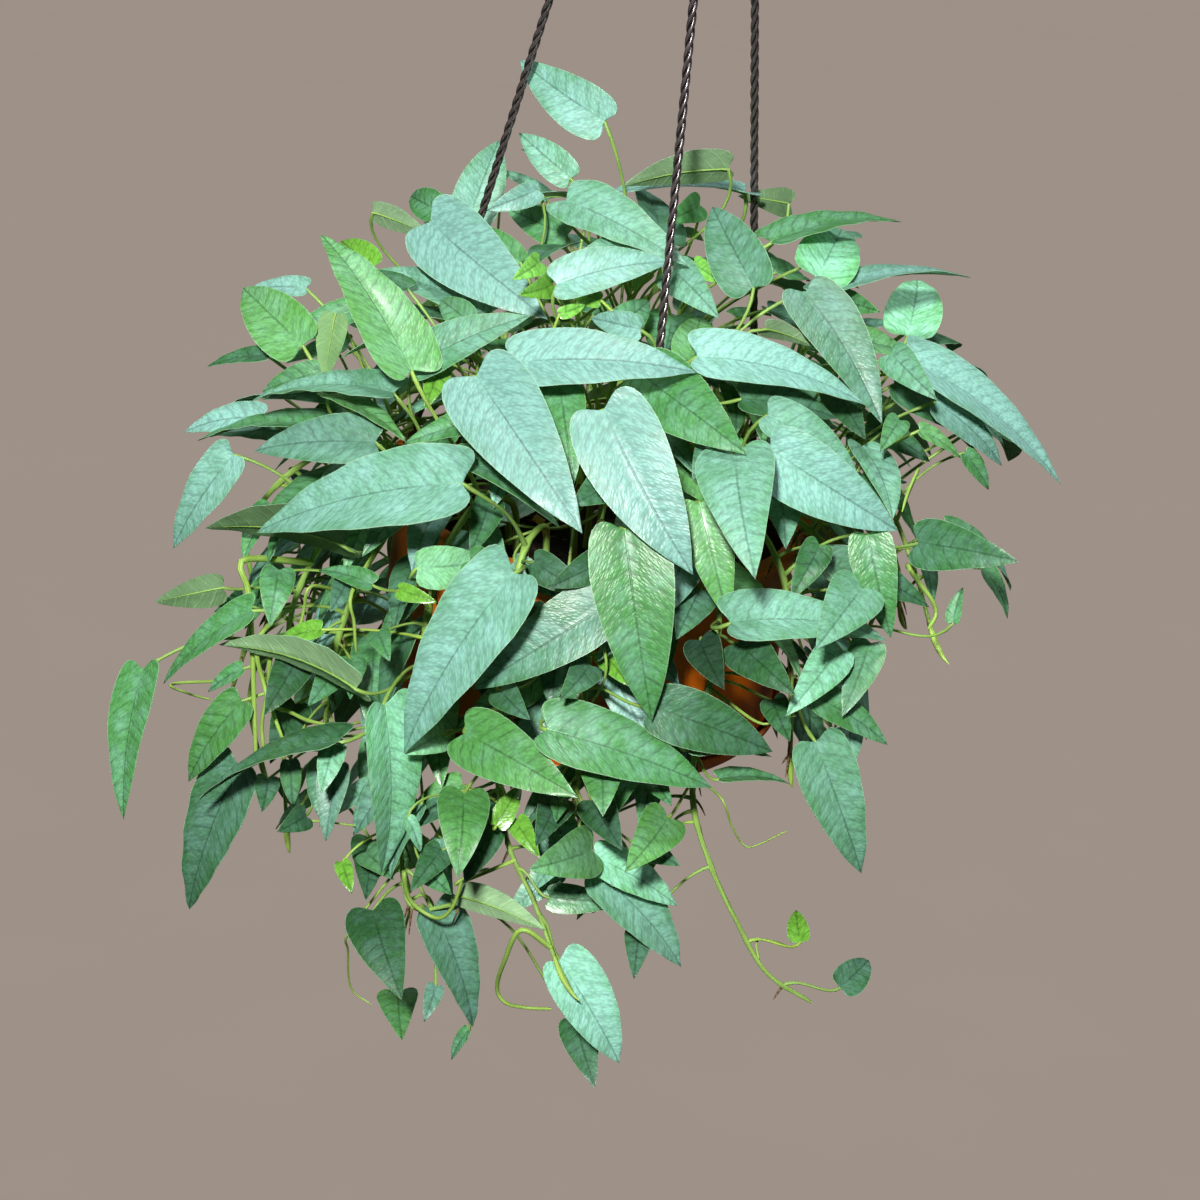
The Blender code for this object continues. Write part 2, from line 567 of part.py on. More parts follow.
def seen_blade(entry, push):
    """A blade that shows as the photograph has it, pushed away from the viewer by a distance."""
    base_x, base_y, tip_x, tip_y, shown_width, face, nearer = entry
    start = foliage_nearness(base_x, base_y) + nearer / 1000 - push
    end = foliage_nearness(tip_x, tip_y) + nearer / 1000 - push
    metre = FOCAL_PX / (VIEW_DISTANCE - start)
    shown_length = math.hypot(tip_x - base_x, tip_y - base_y) / metre
    shown_width = shown_width / metre
    if shown_width > 0.5 * shown_length:
        dive = math.sqrt((shown_width / 0.47) ** 2 - shown_length ** 2)
        end = start + (dive if tip_y > base_y else -dive)
    else:
        end = start + min(max(end - start, -0.5 * shown_length), 0.5 * shown_length)
    base = seen_at(base_x, base_y, start)
    tip = seen_at(tip_x, tip_y, end)
    width = max(shown_width, SLIMMEST * (tip - base).length)
    along = (tip - base).normalized()
    toward = (EYE - base).normalized()
    flat = (toward - along * toward.dot(along)).normalized() * face
    turn = math.acos(min(shown_width / width, 1.0))
    across = along.cross(flat)
    choices = [flat * math.cos(turn) + across * (sign * math.sin(turn)) for sign in (1, -1)]
    normal = max(choices, key=lambda n: n.z)
    return {"base": base, "tip": tip, "width": width, "normal": normal, "side": along.cross(normal)}


def roots_for(leaf, stems, count, taken):
    """The points of the stems that a leaf's stalk could come from, the likeliest first."""
    base = leaf["base"]
    height = base.z - RIM_Z
    drop = float(np.interp(height, (-0.12, 0.0, 0.12), (-0.005, 0.02, 0.055)))
    want = base + inward(base) * 0.03 - Vector((0.0, 0.0, drop))
    along = (leaf["tip"] - base).normalized()
    want = want - along * 0.008
    found = []
    for name, route in stems.items():
        for k in range(2, len(route)):
            steps = ROOTS_A_PIECE if k < len(route) - 1 else 1
            for j in range(steps):
                spot = route[k].lerp(route[min(k + 1, len(route) - 1)], j / ROOTS_A_PIECE)
                if (name, k, j) not in taken and 0.008 < (spot - base).length < 0.135:
                    crowd = CROWDING * sum(1 for place in taken if place[0] == name)
                    found.append(((spot - want).length + crowd, name, spot, (name, k, j)))
    found.sort(key=lambda item: item[0])
    return found[:count]


def settle(leaf, stems, thicket, tries):
    """Give a leaf a stalk that reaches a stem clear of everything else, or say that it has no room."""
    blade = guard_blade(leaf)
    if not thicket.room_for("", "blade", *blade):
        return False
    for distance, name, spot, place in roots_for(leaf, stems, tries, thicket.taken):
        leaf["root"] = spot
        for bow in (0.8, 0.2, -0.5, 1.6):
            leaf["bow"] = bow
            stalk = guard_stalk(leaf)
            if thicket.room_for(name, "stalk", *stalk):
                leaf["vine"] = name
                thicket.taken.add(place)
                thicket.add(name, "blade", *blade)
                thicket.add(name, "stalk", *stalk)
                return True
    return False


PUSHES = (0.0, 0.004, 0.008, 0.012, 0.016, 0.021, -0.005, 0.027, 0.034, -0.010, 0.042, 0.052, 0.064, -0.018)


def place_seen(stems, thicket):
    """The leaves that the photograph shows, each moved along the line of sight until it has room."""
    leaves = []
    for name, entry in LEAVES_SEEN.items():
        for push in PUSHES:
            leaf = seen_blade(entry, push)
            if settle(leaf, stems, thicket, 14):
                leaf["name"] = name
                leaves.append(leaf)
                break
    return leaves


def inside(point, outline):
    """Whether a pixel lies in a closed outline."""
    x, y = point
    odd = False
    for (ax, ay), (bx, by) in zip(outline, outline[1:] + outline[:1]):
        if (ay > y) != (by > y) and x < ax + (y - ay) * (bx - ax) / (by - ay):
            odd = not odd
    return odd


def blade_samples(leaf):
    """Points spread over a blade."""
    base, run, half = leaf["base"], leaf["tip"] - leaf["base"], leaf["side"] * (leaf["width"] / 2)
    points = [base, base + run * 0.5, leaf["tip"], base + run * 0.8]
    for share in (0.1, 0.35, 0.6):
        points += [base + run * share + half * 0.9, base + run * share - half * 0.9]
    return points


def filler_spots(draw):
    """Where blades may fill in: behind the leaves that show, then all round the foliage and inside it."""
    xs = [x for x, y in OUTLINE]
    ys = [y for x, y in OUTLINE]
    for k in range(FRONT_TRIES):
        px = min(xs) + (max(xs) - min(xs)) * ((k * 0.7548777) % 1.0)
        py = min(ys) + (max(ys) - min(ys)) * ((k * 0.5698403) % 1.0)
        behind = draw.uniform(0.010, 0.065)
        if inside((px, py), OUTLINE):
            yield seen_at(px, py, foliage_nearness(px, py) - behind)
    for k in range(APRON_TRIES):
        angle = math.radians(-158.0 + 110.0 * ((k * 0.7548777) % 1.0))
        radius = RIM_RADIUS + draw.uniform(0.014, 0.034)
        height = -0.105 + 0.120 * ((k * 0.5698403) % 1.0)
        yield Vector((radius * math.cos(angle), radius * math.sin(angle), RIM_Z + height))
    for k in range(ROUND_TRIES):
        height = -0.225 + 0.385 * ((k * 0.7548777) % 1.0)
        angle = 2 * math.pi * ((k * 0.5698403) % 1.0) + draw.uniform(-0.2, 0.2)
        radius = foliage_radius(height) * draw.choice((1.0, 0.92, 0.8, 0.66))
        yield Vector((radius * math.cos(angle), radius * math.sin(angle) / FOLIAGE_DEPTH, RIM_Z + height))


def filler_blade(centre, draw):
    """A blade about a point, pointing outward and falling more the lower it is."""
    height = centre.z - RIM_Z
    out = -inward(centre)
    swing = Vector((-out.y, out.x, 0.0)) * draw.uniform(-0.9, 0.9)
    flat = float(np.interp(height, (-0.2, 0.0, 0.14), (0.30, 0.65, 1.0)))
    fall = float(np.interp(height, (-0.2, 0.0, 0.14), (0.95, 0.60, 0.10)))
    along = (out * flat + swing - Vector((0.0, 0.0, fall + draw.uniform(-0.35, 0.25)))).normalized()
    length = draw.uniform(0.044, 0.090) if height > -0.08 else draw.uniform(0.038, 0.076)
    lean = Vector((draw.uniform(-0.45, 0.45), draw.uniform(-0.45, 0.45), 0.9))
    face_up = out * 0.6 + lean
    normal = (face_up - along * face_up.dot(along)).normalized()
    base = centre - along * (0.45 * length)
    return {
        "base": base,
        "tip": base + along * length,
        "width": length * draw.uniform(0.42, 0.52),
        "normal": normal,
        "side": along.cross(normal),
    }


def place_others(stems, thicket, seen, count):
    """The leaves that fill the plant out all round, where they hide nothing that the photograph shows."""
    draw = random.Random(11)
    points, faces = [], []
    for leaf in seen:
        blade_vertices, blade_faces = guard_blade(leaf)
        faces += [tuple(i + len(points) for i in face) for face in blade_faces]
        points += blade_vertices
    screen = BVHTree.FromPolygons(points, faces)
    leaves = []
    for centre in filler_spots(draw):
        if len(leaves) == count:
            break
        for attempt in range(3):
            leaf = filler_blade(centre, draw)
            samples = blade_samples(leaf)
            pixels = [pixel_of(p) for p in samples]
            if not all(inside(pixel, OUTLINE) for pixel in pixels):
                continue
            windows = SEEN_THROUGH + POT_SHOWS
            if any(x0 < x < x1 and y0 < y < y1 for x, y in pixels for x0, y0, x1, y1 in windows):
                continue
            if any(screen.ray_cast(p, (p - EYE).normalized())[0] for p in samples):
                continue
            if settle(leaf, stems, thicket, 12):
                leaf["name"] = "fill_" + str(len(leaves))
                leaves.append(leaf)
                break
    return leaves


# Profiles of the turned pieces, radius and height, down their outer side from the top
POT_PROFILE = (
    (0.0, FOOT_Z + WALL),
    (WALL_FOOT_RADIUS - 0.0110, FOOT_Z + WALL),
    (WALL_FOOT_RADIUS + 0.0010 - WALL, FOOT_Z + 0.0115),
    (WALL_TOP_RADIUS - WALL, RIM_Z),
    (RIM_RADIUS - 0.0006, RIM_Z),
    (RIM_RADIUS, RIM_Z - 0.0008),
    (RIM_RADIUS, RIM_Z - RIM_THICKNESS),
    (WALL_TOP_RADIUS, RIM_Z - RIM_THICKNESS),
    (WALL_FOOT_RADIUS + 0.0010, FOOT_Z + 0.011),
    (WALL_FOOT_RADIUS - 0.0035, FOOT_Z + 0.0025),
    (WALL_FOOT_RADIUS - 0.0100, FOOT_Z),
    (0.0, FOOT_Z),
)
SAUCER_PROFILE = (
    (0.0, SAUCER_Z + SAUCER_WALL),
    (SAUCER_RADIUS - 0.0095, SAUCER_Z + SAUCER_WALL),
    (SAUCER_RADIUS - 0.0030, SAUCER_Z + SAUCER_HEIGHT - 0.004),
    (SAUCER_RADIUS - 0.0020, SAUCER_Z + SAUCER_HEIGHT),
    (SAUCER_RADIUS, SAUCER_Z + SAUCER_HEIGHT),
    (SAUCER_RADIUS - 0.0010, SAUCER_Z + SAUCER_HEIGHT - 0.004),
    (SAUCER_RADIUS - 0.0070, SAUCER_Z + 0.003),
    (SAUCER_RADIUS - 0.0105, SAUCER_Z),
    (0.0, SAUCER_Z),
)
ROUND_STEPS = 30


def strand_line(azimuth):
    """A hanger strand's two ends: in the hook's collar and below its lug."""
    toward = around(STRAND_CIRCLE, azimuth, -RIM_THICKNESS / 2)
    top = toward * ((COLLAR_BOTTOM + 0.006) / toward.z)
    low = toward * ((toward.z - RIM_THICKNESS / 2 - GAP - BEAD_LENGTH) / toward.z)
    return top, low


def grow():
    """All the stems and leaves."""
    stems = all_stems()
    thicket = Thicket()
    thicket.add("pot", "pot", *guard_turned(POT_PROFILE[1:-1]))
    thicket.add("saucer", "pot", *guard_turned(SAUCER_PROFILE[1:]))
    soil_top = SOIL_Z + SOIL_BUMP + 0.001
    thicket.add("soil", "pot", *guard_turned(((WALL_TOP_RADIUS, soil_top), (0.0001, soil_top))))
    for azimuth in STRAND_AZIMUTHS:
        top, low = strand_line(azimuth)
        route = [low, low.lerp(top, 0.03), low.lerp(top, 0.3), top]
        radii = [BEAD_RADIUS + 0.001] + 3 * [STRAND_RADIUS + 0.001]
        thicket.add("strand", "pot", *guard_tube(route, radii))
    for name, route in stems.items():
        radii = [stem_radius(k, len(route)) + 0.0004 for k in range(len(route))]
        thicket.add(name, "stem", *guard_tube(route[1:], radii[1:]))
    seen = place_seen(stems, thicket)
    others = place_others(stems, thicket, seen, LEAVES_IN_ALL - len(seen))
    return stems, seen + others


def stem_radius(k, count):
    """A stem's radius at its k-th point: it thins toward its end."""
    return STEM_RADIUS * (1.0 - 0.45 * k / (count - 1))


for leftover in list(bpy.data.objects):
    bpy.data.objects.remove(leftover, do_unlink=True)
PARTS = bpy.data.collections.new("potted_pothos")
CUTTERS = bpy.data.collections.new("cutters")
bpy.context.scene.collection.children.link(PARTS)
bpy.context.scene.collection.children.link(CUTTERS)


def material(name, colour, roughness, metallic=0.0):
    """A plain Principled material."""
    made = bpy.data.materials.new(name)
    made.use_nodes = True
    shader = made.node_tree.nodes["Principled BSDF"]
    shader.inputs["Base Color"].default_value = (*colour, 1.0)
    shader.inputs["Roughness"].default_value = roughness
    shader.inputs["Metallic"].default_value = metallic
    return made


def new_object(name, points, edges, faces, collection=PARTS):
    """An object from its points, edges and faces."""
    mesh = bpy.data.meshes.new(name)
    mesh.from_pydata([tuple(p) for p in points], edges, faces)
    mesh.update()
    made = bpy.data.objects.new(name, mesh)
    collection.objects.link(made)
    return made


def as_mesh(source, weld=False):
    """An object's evaluated shape as a mesh object of the same name, a curve's with its caps welded."""
    bpy.context.view_layer.update()
    shape = bpy.data.meshes.new_from_object(source.evaluated_get(bpy.context.evaluated_depsgraph_get()))
    body = bmesh.new()
    body.from_mesh(shape)
    if weld:
        bmesh.ops.remove_doubles(body, verts=body.verts, dist=0.00002)
    bmesh.ops.recalc_face_normals(body, faces=body.faces)
    body.to_mesh(shape)
    body.free()
    name = source.name
    made = bpy.data.objects.new(name, shape)
    made.matrix_world = source.matrix_world
    home = source.users_collection[0]
    bpy.data.objects.remove(source, do_unlink=True)
    made.name = name
    home.objects.link(made)
    return made


def turned(name, profile, steps, collection=PARTS):
    """A profile of radii and heights turned round Z by a Screw modifier, down its outer side from the top."""
    edges = [(i, i + 1) for i in range(len(profile) - 1)]
    made = new_object(name, [(r, 0.0, z) for r, z in profile], edges, [], collection)
    screw = made.modifiers.new("Screw", "SCREW")
    screw.axis = "Z"
    screw.angle = 2 * math.pi
    screw.steps = steps
    screw.render_steps = steps
    screw.use_merge_vertices = True
    screw.merge_threshold = 0.0001
    screw.use_smooth_shade = True
    return made


def tube(name, route, radii, sides_step=0, collection=PARTS):
    """A curve with a bevel through a route's points, each with its own radius."""
    curve = bpy.data.curves.new(name, "CURVE")
    curve.dimensions = "3D"
    curve.bevel_depth = 1.0
    curve.bevel_resolution = sides_step
    curve.use_fill_caps = True
    line = curve.splines.new("POLY")
    line.points.add(len(route) - 1)
    for spot, place, radius in zip(line.points, route, radii):
        spot.co = (*place, 1.0)
        spot.radius = radius
    made = bpy.data.objects.new(name, curve)
    collection.objects.link(made)
    return made


def cylinder(name, centre, radius, height, sides, collection=PARTS):
    """An upright cylinder from a primitive."""
    body = bmesh.new()
    bmesh.ops.create_cone(
        body, cap_ends=True, segments=sides, radius1=radius, radius2=radius, depth=height
    )
    mesh = bpy.data.meshes.new(name)
    body.to_mesh(mesh)
    body.free()
    made = bpy.data.objects.new(name, mesh)
    made.location = centre
    collection.objects.link(made)
    return made


def boolean(target, operation, other=None, group=None, solver="EXACT"):
    """A Boolean modifier on the target with one object or a collection."""
    cut = target.modifiers.new(operation.title(), "BOOLEAN")
    cut.operation = operation
    cut.solver = solver
    if group is not None:
        cut.operand_type = "COLLECTION"
        cut.collection = group
    else:
        cut.object = other
    return cut


def hide_cutter(cutter):
    """Mark an object as a cutter."""
    cutter.hide_render = True
    cutter.display_type = "WIRE"


def round_off(made, angle=40.0):
    """Shade a round piece smooth, with its real edges left sharp."""
    made.data.shade_smooth()
    made.data.set_sharp_from_angle(angle=math.radians(angle))


ORANGE = material("terracotta_plastic", (0.60, 0.16, 0.045), 0.42)
SAUCER_ORANGE = material("saucer_plastic", (0.58, 0.15, 0.045), 0.40)
SOIL_DARK = material("potting_mix", (0.018, 0.013, 0.010), 0.95)
CORD_BROWN = material("hanger_cord", (0.055, 0.036, 0.032), 0.38)
HOOK_BROWN = material("hook_plastic", (0.050, 0.034, 0.030), 0.35)
LEAF_GREEN = (0.16, 0.34, 0.22)

# Pot: a turned shell with a flat rim, three lugs on the rim and a hole through each
pot = turned("pot", POT_PROFILE, ROUND_STEPS)
lug_group = bpy.data.collections.new("lugs")
bpy.context.scene.collection.children.link(lug_group)
hole_group = bpy.data.collections.new("lug_holes")
bpy.context.scene.collection.children.link(hole_group)
for number, azimuth in enumerate(STRAND_AZIMUTHS):
    place = around(STRAND_CIRCLE, azimuth, -RIM_THICKNESS / 2)
    lug = cylinder("lug_" + str(number), place, LUG_RADIUS, RIM_THICKNESS, 12, lug_group)
    hole_radius = (STRAND_RADIUS + 0.0010) / math.cos(math.pi / 8)
    hole = cylinder("lug_hole_" + str(number), place, hole_radius, 0.012, 8, hole_group)
    hide_cutter(hole)
pot = as_mesh(pot)
boolean(pot, "UNION", group=lug_group)
boolean(pot, "DIFFERENCE", group=hole_group)
pot = as_mesh(pot)
for helper in list(lug_group.objects) + list(hole_group.objects):
    bpy.data.objects.remove(helper, do_unlink=True)
pot.data.materials.clear()
pot.data.materials.append(ORANGE)
round_off(pot)

saucer = as_mesh(turned("saucer", SAUCER_PROFILE, ROUND_STEPS))
saucer.data.materials.append(SAUCER_ORANGE)
round_off(saucer)

STEMS, LEAVES = grow()

# Potting mix: fills the pot inside with a gap to its wall; its top is uneven, with a hole for each stem
SOIL_RINGS = (0.0, 0.030, 0.060, 0.084)
SOIL_SIDES = 16
wall_slope = (WALL_TOP_RADIUS - WALL_FOOT_RADIUS - 0.0010) / (RIM_Z - FOOT_Z - 0.0115)
soil_edge = WALL_TOP_RADIUS - WALL - wall_slope * SOIL_BELOW_RIM - 2 * GAP
soil_floor = FOOT_Z + WALL + GAP
soil_draw = random.Random(3)
soil_profile = [
    (soil_edge, SOIL_Z),
    (WALL_FOOT_RADIUS + 0.0010 - WALL - 2 * GAP, FOOT_Z + 0.0118),
    (WALL_FOOT_RADIUS - 0.0116, soil_floor),
]
soil_points, soil_faces = [], []
for radius, height in soil_profile:
    for k in range(2 * SOIL_SIDES):
        angle = math.pi * k / SOIL_SIDES
        soil_points.append((radius * math.cos(angle), radius * math.sin(angle), height))
for level in range(len(soil_profile) - 1):
    for k in range(2 * SOIL_SIDES):
        a, b = 2 * SOIL_SIDES * level + k, 2 * SOIL_SIDES * level + (k + 1) % (2 * SOIL_SIDES)
        soil_faces.append((a, a + 2 * SOIL_SIDES, b + 2 * SOIL_SIDES, b))
soil_faces.append(tuple(reversed(range(2 * SOIL_SIDES * 2, 2 * SOIL_SIDES * 3))))
ring_starts = []
for radius in SOIL_RINGS[1:]:
    ring_starts.append(len(soil_points))
    for k in range(SOIL_SIDES):
        angle = 2 * math.pi * k / SOIL_SIDES
        bump = soil_draw.uniform(-SOIL_BUMP, SOIL_BUMP)
        soil_points.append((radius * math.cos(angle), radius * math.sin(angle), SOIL_Z + bump))
middle = len(soil_points)
soil_points.append((0.0, 0.0, SOIL_Z + 0.001))
for k in range(SOIL_SIDES):
    n = (k + 1) % SOIL_SIDES
    soil_faces.append((middle, ring_starts[0] + k, ring_starts[0] + n))
    for inner, outer in zip(ring_starts, ring_starts[1:]):
        soil_faces += [(inner + k, outer + k, outer + n), (inner + k, outer + n, inner + n)]
    last = ring_starts[-1]
    a, b, c = 2 * k, 2 * k + 1, (2 * k + 2) % (2 * SOIL_SIDES)
    soil_faces += [(last + k, a, b), (last + k, b, last + n), (last + n, b, c)]
soil = new_object("potting_mix", soil_points, [], soil_faces)
stem_holes = bpy.data.collections.new("stem_holes")
bpy.context.scene.collection.children.link(stem_holes)
for name, route in STEMS.items():
    foot = route[0]
    hole_height = ROOT_DEPTH + GAP + 0.012
    centre = (foot.x, foot.y, foot.z - GAP + hole_height / 2)
    hole_radius = (STEM_RADIUS + GAP) / math.cos(math.pi / 4)
    hole = cylinder("hole_" + name, centre, hole_radius, hole_height, 4, stem_holes)
    hide_cutter(hole)
boolean(soil, "DIFFERENCE", group=stem_holes)
soil = as_mesh(soil)
for helper in list(stem_holes.objects):
    bpy.data.objects.remove(helper, do_unlink=True)
soil.data.materials.clear()
soil.data.materials.append(SOIL_DARK)

# Hanger strands: each runs from the hook's collar through its lug and ends in a bead under it
for number, azimuth in enumerate(STRAND_AZIMUTHS):
    top, low = strand_line(azimuth)
    line = (top - low).normalized()
    bead_top = low + line * BEAD_LENGTH
    route = [low, low + line * 0.001, bead_top - line * 0.0006, bead_top, bead_top + line * 0.0002, top]
    radii = [0.55 * BEAD_RADIUS, BEAD_RADIUS, BEAD_RADIUS, STRAND_RADIUS * 1.15, STRAND_RADIUS, STRAND_RADIUS]
    strand = as_mesh(tube("strand_" + str(number + 1), route, radii, 2), weld=True)
    strand.data.materials.append(CORD_BROWN)
    round_off(strand)

# Hook: a collar with a socket for each strand, and a crook of round wire grown from it
collar = turned("hook", (
    (0.0, COLLAR_TOP + 0.004),
    (0.0050, COLLAR_TOP + 0.003),
    (COLLAR_RADIUS * 0.72, COLLAR_TOP - 0.002),
    (COLLAR_RADIUS, COLLAR_TOP - 0.008),
    (COLLAR_RADIUS, COLLAR_BOTTOM + 0.001),
    (COLLAR_RADIUS - 0.001, COLLAR_BOTTOM),
    (0.0, COLLAR_BOTTOM),
), 20)
hook = as_mesh(collar)
crook_centre = Vector((0.0, 0.0, -CROOK_RADIUS))
crook_line = CROOK_RADIUS + CROOK_WIRE
crook_knots = [
    Vector((0.0, 0.0, COLLAR_TOP - 0.004)),
    Vector((0.0, 0.0, COLLAR_TOP + 0.006)),
    Vector((0.25 * crook_line, 0.0, crook_centre.z - 1.02 * crook_line)),
]
for degrees in range(-50, 211, 20):
    angle = math.radians(degrees)
    crook_knots.append(crook_centre + Vector((math.cos(angle), 0.0, math.sin(angle))) * crook_line)
crook_knots.append(crook_knots[-1] + Vector((-0.004, 0.0, -0.004)))
crook_route = smooth_path(crook_knots, 17)
crook_group = bpy.data.collections.new("crook")
bpy.context.scene.collection.children.link(crook_group)
as_mesh(tube("crook", crook_route, [CROOK_WIRE] * len(crook_route), 2, crook_group), weld=True)
socket_group = bpy.data.collections.new("sockets")
bpy.context.scene.collection.children.link(socket_group)
for number, azimuth in enumerate(STRAND_AZIMUTHS):
    top, low = strand_line(azimuth)
    line = (top - low).normalized()
    reach = [top + line * GAP, top - line * 0.012]
    wide = (STRAND_RADIUS + GAP) / math.cos(math.pi / 8)
    socket = as_mesh(tube("socket_" + str(number), reach, [wide] * 2, 2, socket_group), weld=True)
    hide_cutter(socket)
boolean(hook, "UNION", group=crook_group)
boolean(hook, "DIFFERENCE", group=socket_group)
hook = as_mesh(hook)
for helper in list(crook_group.objects) + list(socket_group.objects):
    bpy.data.objects.remove(helper, do_unlink=True)
hook.data.materials.clear()
hook.data.materials.append(HOOK_BROWN)
round_off(hook)

# Vines: each stem with the leaves that grow from it, joined into one body
for name, route in STEMS.items():
    radii = [stem_radius(k, len(route)) for k in range(len(route))]
    vine = as_mesh(tube(name, route, radii, 0), weld=True)
    leaf_group = bpy.data.collections.new("leaves_of_" + name)
    bpy.context.scene.collection.children.link(leaf_group)
    for leaf in LEAVES:
        if leaf["vine"] == name:
            points, faces = leaf_shape(leaf)
            new_object(name + "_" + leaf["name"], points, [], faces, leaf_group)
    if len(leaf_group.objects):
        boolean(vine, "UNION", group=leaf_group, solver="MANIFOLD")
        vine = as_mesh(vine)
    for helper in list(leaf_group.objects):
        bpy.data.objects.remove(helper, do_unlink=True)
    vine.data.materials.clear()
    vine.data.materials.append(material(name + "_green", LEAF_GREEN, 0.45))
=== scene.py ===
"""A hanging pot of blue-leaved pothos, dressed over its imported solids.

Metres, +Z up. The origin is where the hook's crook bears, the pot's axis is the Z axis and -Y is the side
that the photograph shows. Heights of the plant are given above the pot's rim.
"""

import math
import random
from collections import Counter

import bmesh
import bpy
import numpy as np
from mathutils import Matrix, Vector, noise
from mathutils.bvhtree import BVHTree


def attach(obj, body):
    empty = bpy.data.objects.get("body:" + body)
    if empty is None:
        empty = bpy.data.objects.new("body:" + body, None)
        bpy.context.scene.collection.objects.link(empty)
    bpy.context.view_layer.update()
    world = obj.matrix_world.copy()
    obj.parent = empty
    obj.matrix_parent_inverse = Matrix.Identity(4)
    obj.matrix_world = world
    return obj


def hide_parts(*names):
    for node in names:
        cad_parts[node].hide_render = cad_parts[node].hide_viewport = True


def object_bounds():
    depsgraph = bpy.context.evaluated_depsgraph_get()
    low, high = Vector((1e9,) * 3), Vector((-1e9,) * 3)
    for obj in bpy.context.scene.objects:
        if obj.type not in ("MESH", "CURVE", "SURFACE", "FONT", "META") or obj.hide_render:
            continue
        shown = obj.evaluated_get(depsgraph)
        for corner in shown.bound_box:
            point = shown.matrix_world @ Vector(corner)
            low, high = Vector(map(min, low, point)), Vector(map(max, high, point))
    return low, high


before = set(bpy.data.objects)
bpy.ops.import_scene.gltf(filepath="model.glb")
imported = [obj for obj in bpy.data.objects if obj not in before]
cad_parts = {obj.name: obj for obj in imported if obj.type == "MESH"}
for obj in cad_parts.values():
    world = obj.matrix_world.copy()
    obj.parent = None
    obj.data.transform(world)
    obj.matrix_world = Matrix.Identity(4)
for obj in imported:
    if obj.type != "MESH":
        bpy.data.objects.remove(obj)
CAD_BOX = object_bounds()

# Camera. The plant is seen from its front, from a little above and slightly rolled, in a square frame.
# Every place that is read off the photograph goes through this camera, so it comes first.
HANG = 0.557  # from the bearing point down to the pot's rim
RIM_Z = -HANG
FRAME_CENTRE = 600.0
RIM_CENTRE_PX = (600.0, 493.0)
PX_PER_METRE = 1931.0
VIEW_DISTANCE = 1.6
VIEW_ELEVATION = math.radians(25.0)
VIEW_ROLL = math.radians(7.91)
SENSOR_MM = 36.0


def view_axes():
    """The photograph's axes: toward the viewer, to its right and up."""
    back = Vector((0.0, -math.cos(VIEW_ELEVATION), math.sin(VIEW_ELEVATION)))
    level = Vector((1.0, 0.0, 0.0))
    rise = back.cross(level)
    right = level * math.cos(VIEW_ROLL) + rise * math.sin(VIEW_ROLL)
    up = rise * math.cos(VIEW_ROLL) - level * math.sin(VIEW_ROLL)
    return back, right, up


BACK, RIGHT, UP = view_axes()
FOCAL_PX = PX_PER_METRE * VIEW_DISTANCE
EYE = Vector((0.0, 0.0, RIM_Z)) - VIEW_DISTANCE * (
    -BACK
    + RIGHT * (RIM_CENTRE_PX[0] - FRAME_CENTRE) / FOCAL_PX
    - UP * (RIM_CENTRE_PX[1] - FRAME_CENTRE) / FOCAL_PX
)


def seen_at(px, py, near):
    """The point that shows at a pixel, with its nearness to the viewer measured from the rim's centre."""
    ray = RIGHT * (px - FRAME_CENTRE) / FOCAL_PX - UP * (py - FRAME_CENTRE) / FOCAL_PX - BACK
    return EYE + ray * (VIEW_DISTANCE - near)


def pixel_of(point):
    """Where a point shows in the photograph."""
    offset = point - EYE
    depth = -offset.dot(BACK)
    return (
        FRAME_CENTRE + FOCAL_PX * offset.dot(RIGHT) / depth,
        FRAME_CENTRE - FOCAL_PX * offset.dot(UP) / depth,
    )


lens = bpy.data.cameras.new("camera")
lens.sensor_width = SENSOR_MM
lens.lens = SENSOR_MM * FOCAL_PX / (2 * FRAME_CENTRE)
camera = bpy.data.objects.new("camera", lens)
bpy.context.scene.collection.objects.link(camera)
stance = Matrix((RIGHT, UP, BACK)).transposed().to_4x4()
stance.translation = EYE
camera.matrix_world = stance
bpy.context.scene.camera = camera

# Pot. A turned shell of terracotta-coloured polypropylene, moulded in one piece with a flat rim and three
# pierced lugs that the strands pass through. Old water marks and splashed mix show low on its wall.
RIM_RADIUS = 0.1115
RIM_THICKNESS = 0.0032
WALL_TOP_RADIUS = 0.1040
WALL_FOOT_RADIUS = 0.1040
WALL = 0.0022
POT_HEIGHT = 0.1145
LUG_RADIUS = 0.0062
STRAND_RADIUS = 0.0022
HOLE_RADIUS = STRAND_RADIUS + 0.0010
HOLE_HALF_DEPTH = 0.006
STRAND_CIRCLE = 0.1085
STRAND_AZIMUTHS = (43.0, 163.0, 283.0)
FOOT_Z = RIM_Z - POT_HEIGHT
FOOT_BULGE = 0.0010  # how far the wall stands out over its foot
BEND_HEIGHT = 0.0115  # how high the wall's inside starts over the foot
POT_PROFILE = (
    (0.0, FOOT_Z + WALL),
    (WALL_FOOT_RADIUS - 0.0110, FOOT_Z + WALL),
    (WALL_FOOT_RADIUS + FOOT_BULGE - WALL, FOOT_Z + BEND_HEIGHT),
    (WALL_TOP_RADIUS - WALL, RIM_Z),
    (RIM_RADIUS - 0.0006, RIM_Z),
    (RIM_RADIUS, RIM_Z - 0.0008),
    (RIM_RADIUS, RIM_Z - RIM_THICKNESS),
    (WALL_TOP_RADIUS, RIM_Z - RIM_THICKNESS),
    (WALL_FOOT_RADIUS + FOOT_BULGE, FOOT_Z + 0.011),
    (WALL_FOOT_RADIUS - 0.0035, FOOT_Z + 0.0025),
    (WALL_FOOT_RADIUS - 0.0100, FOOT_Z),
    (0.0, FOOT_Z),
)
POT_COLOUR = (0.84, 0.180, 0.004)
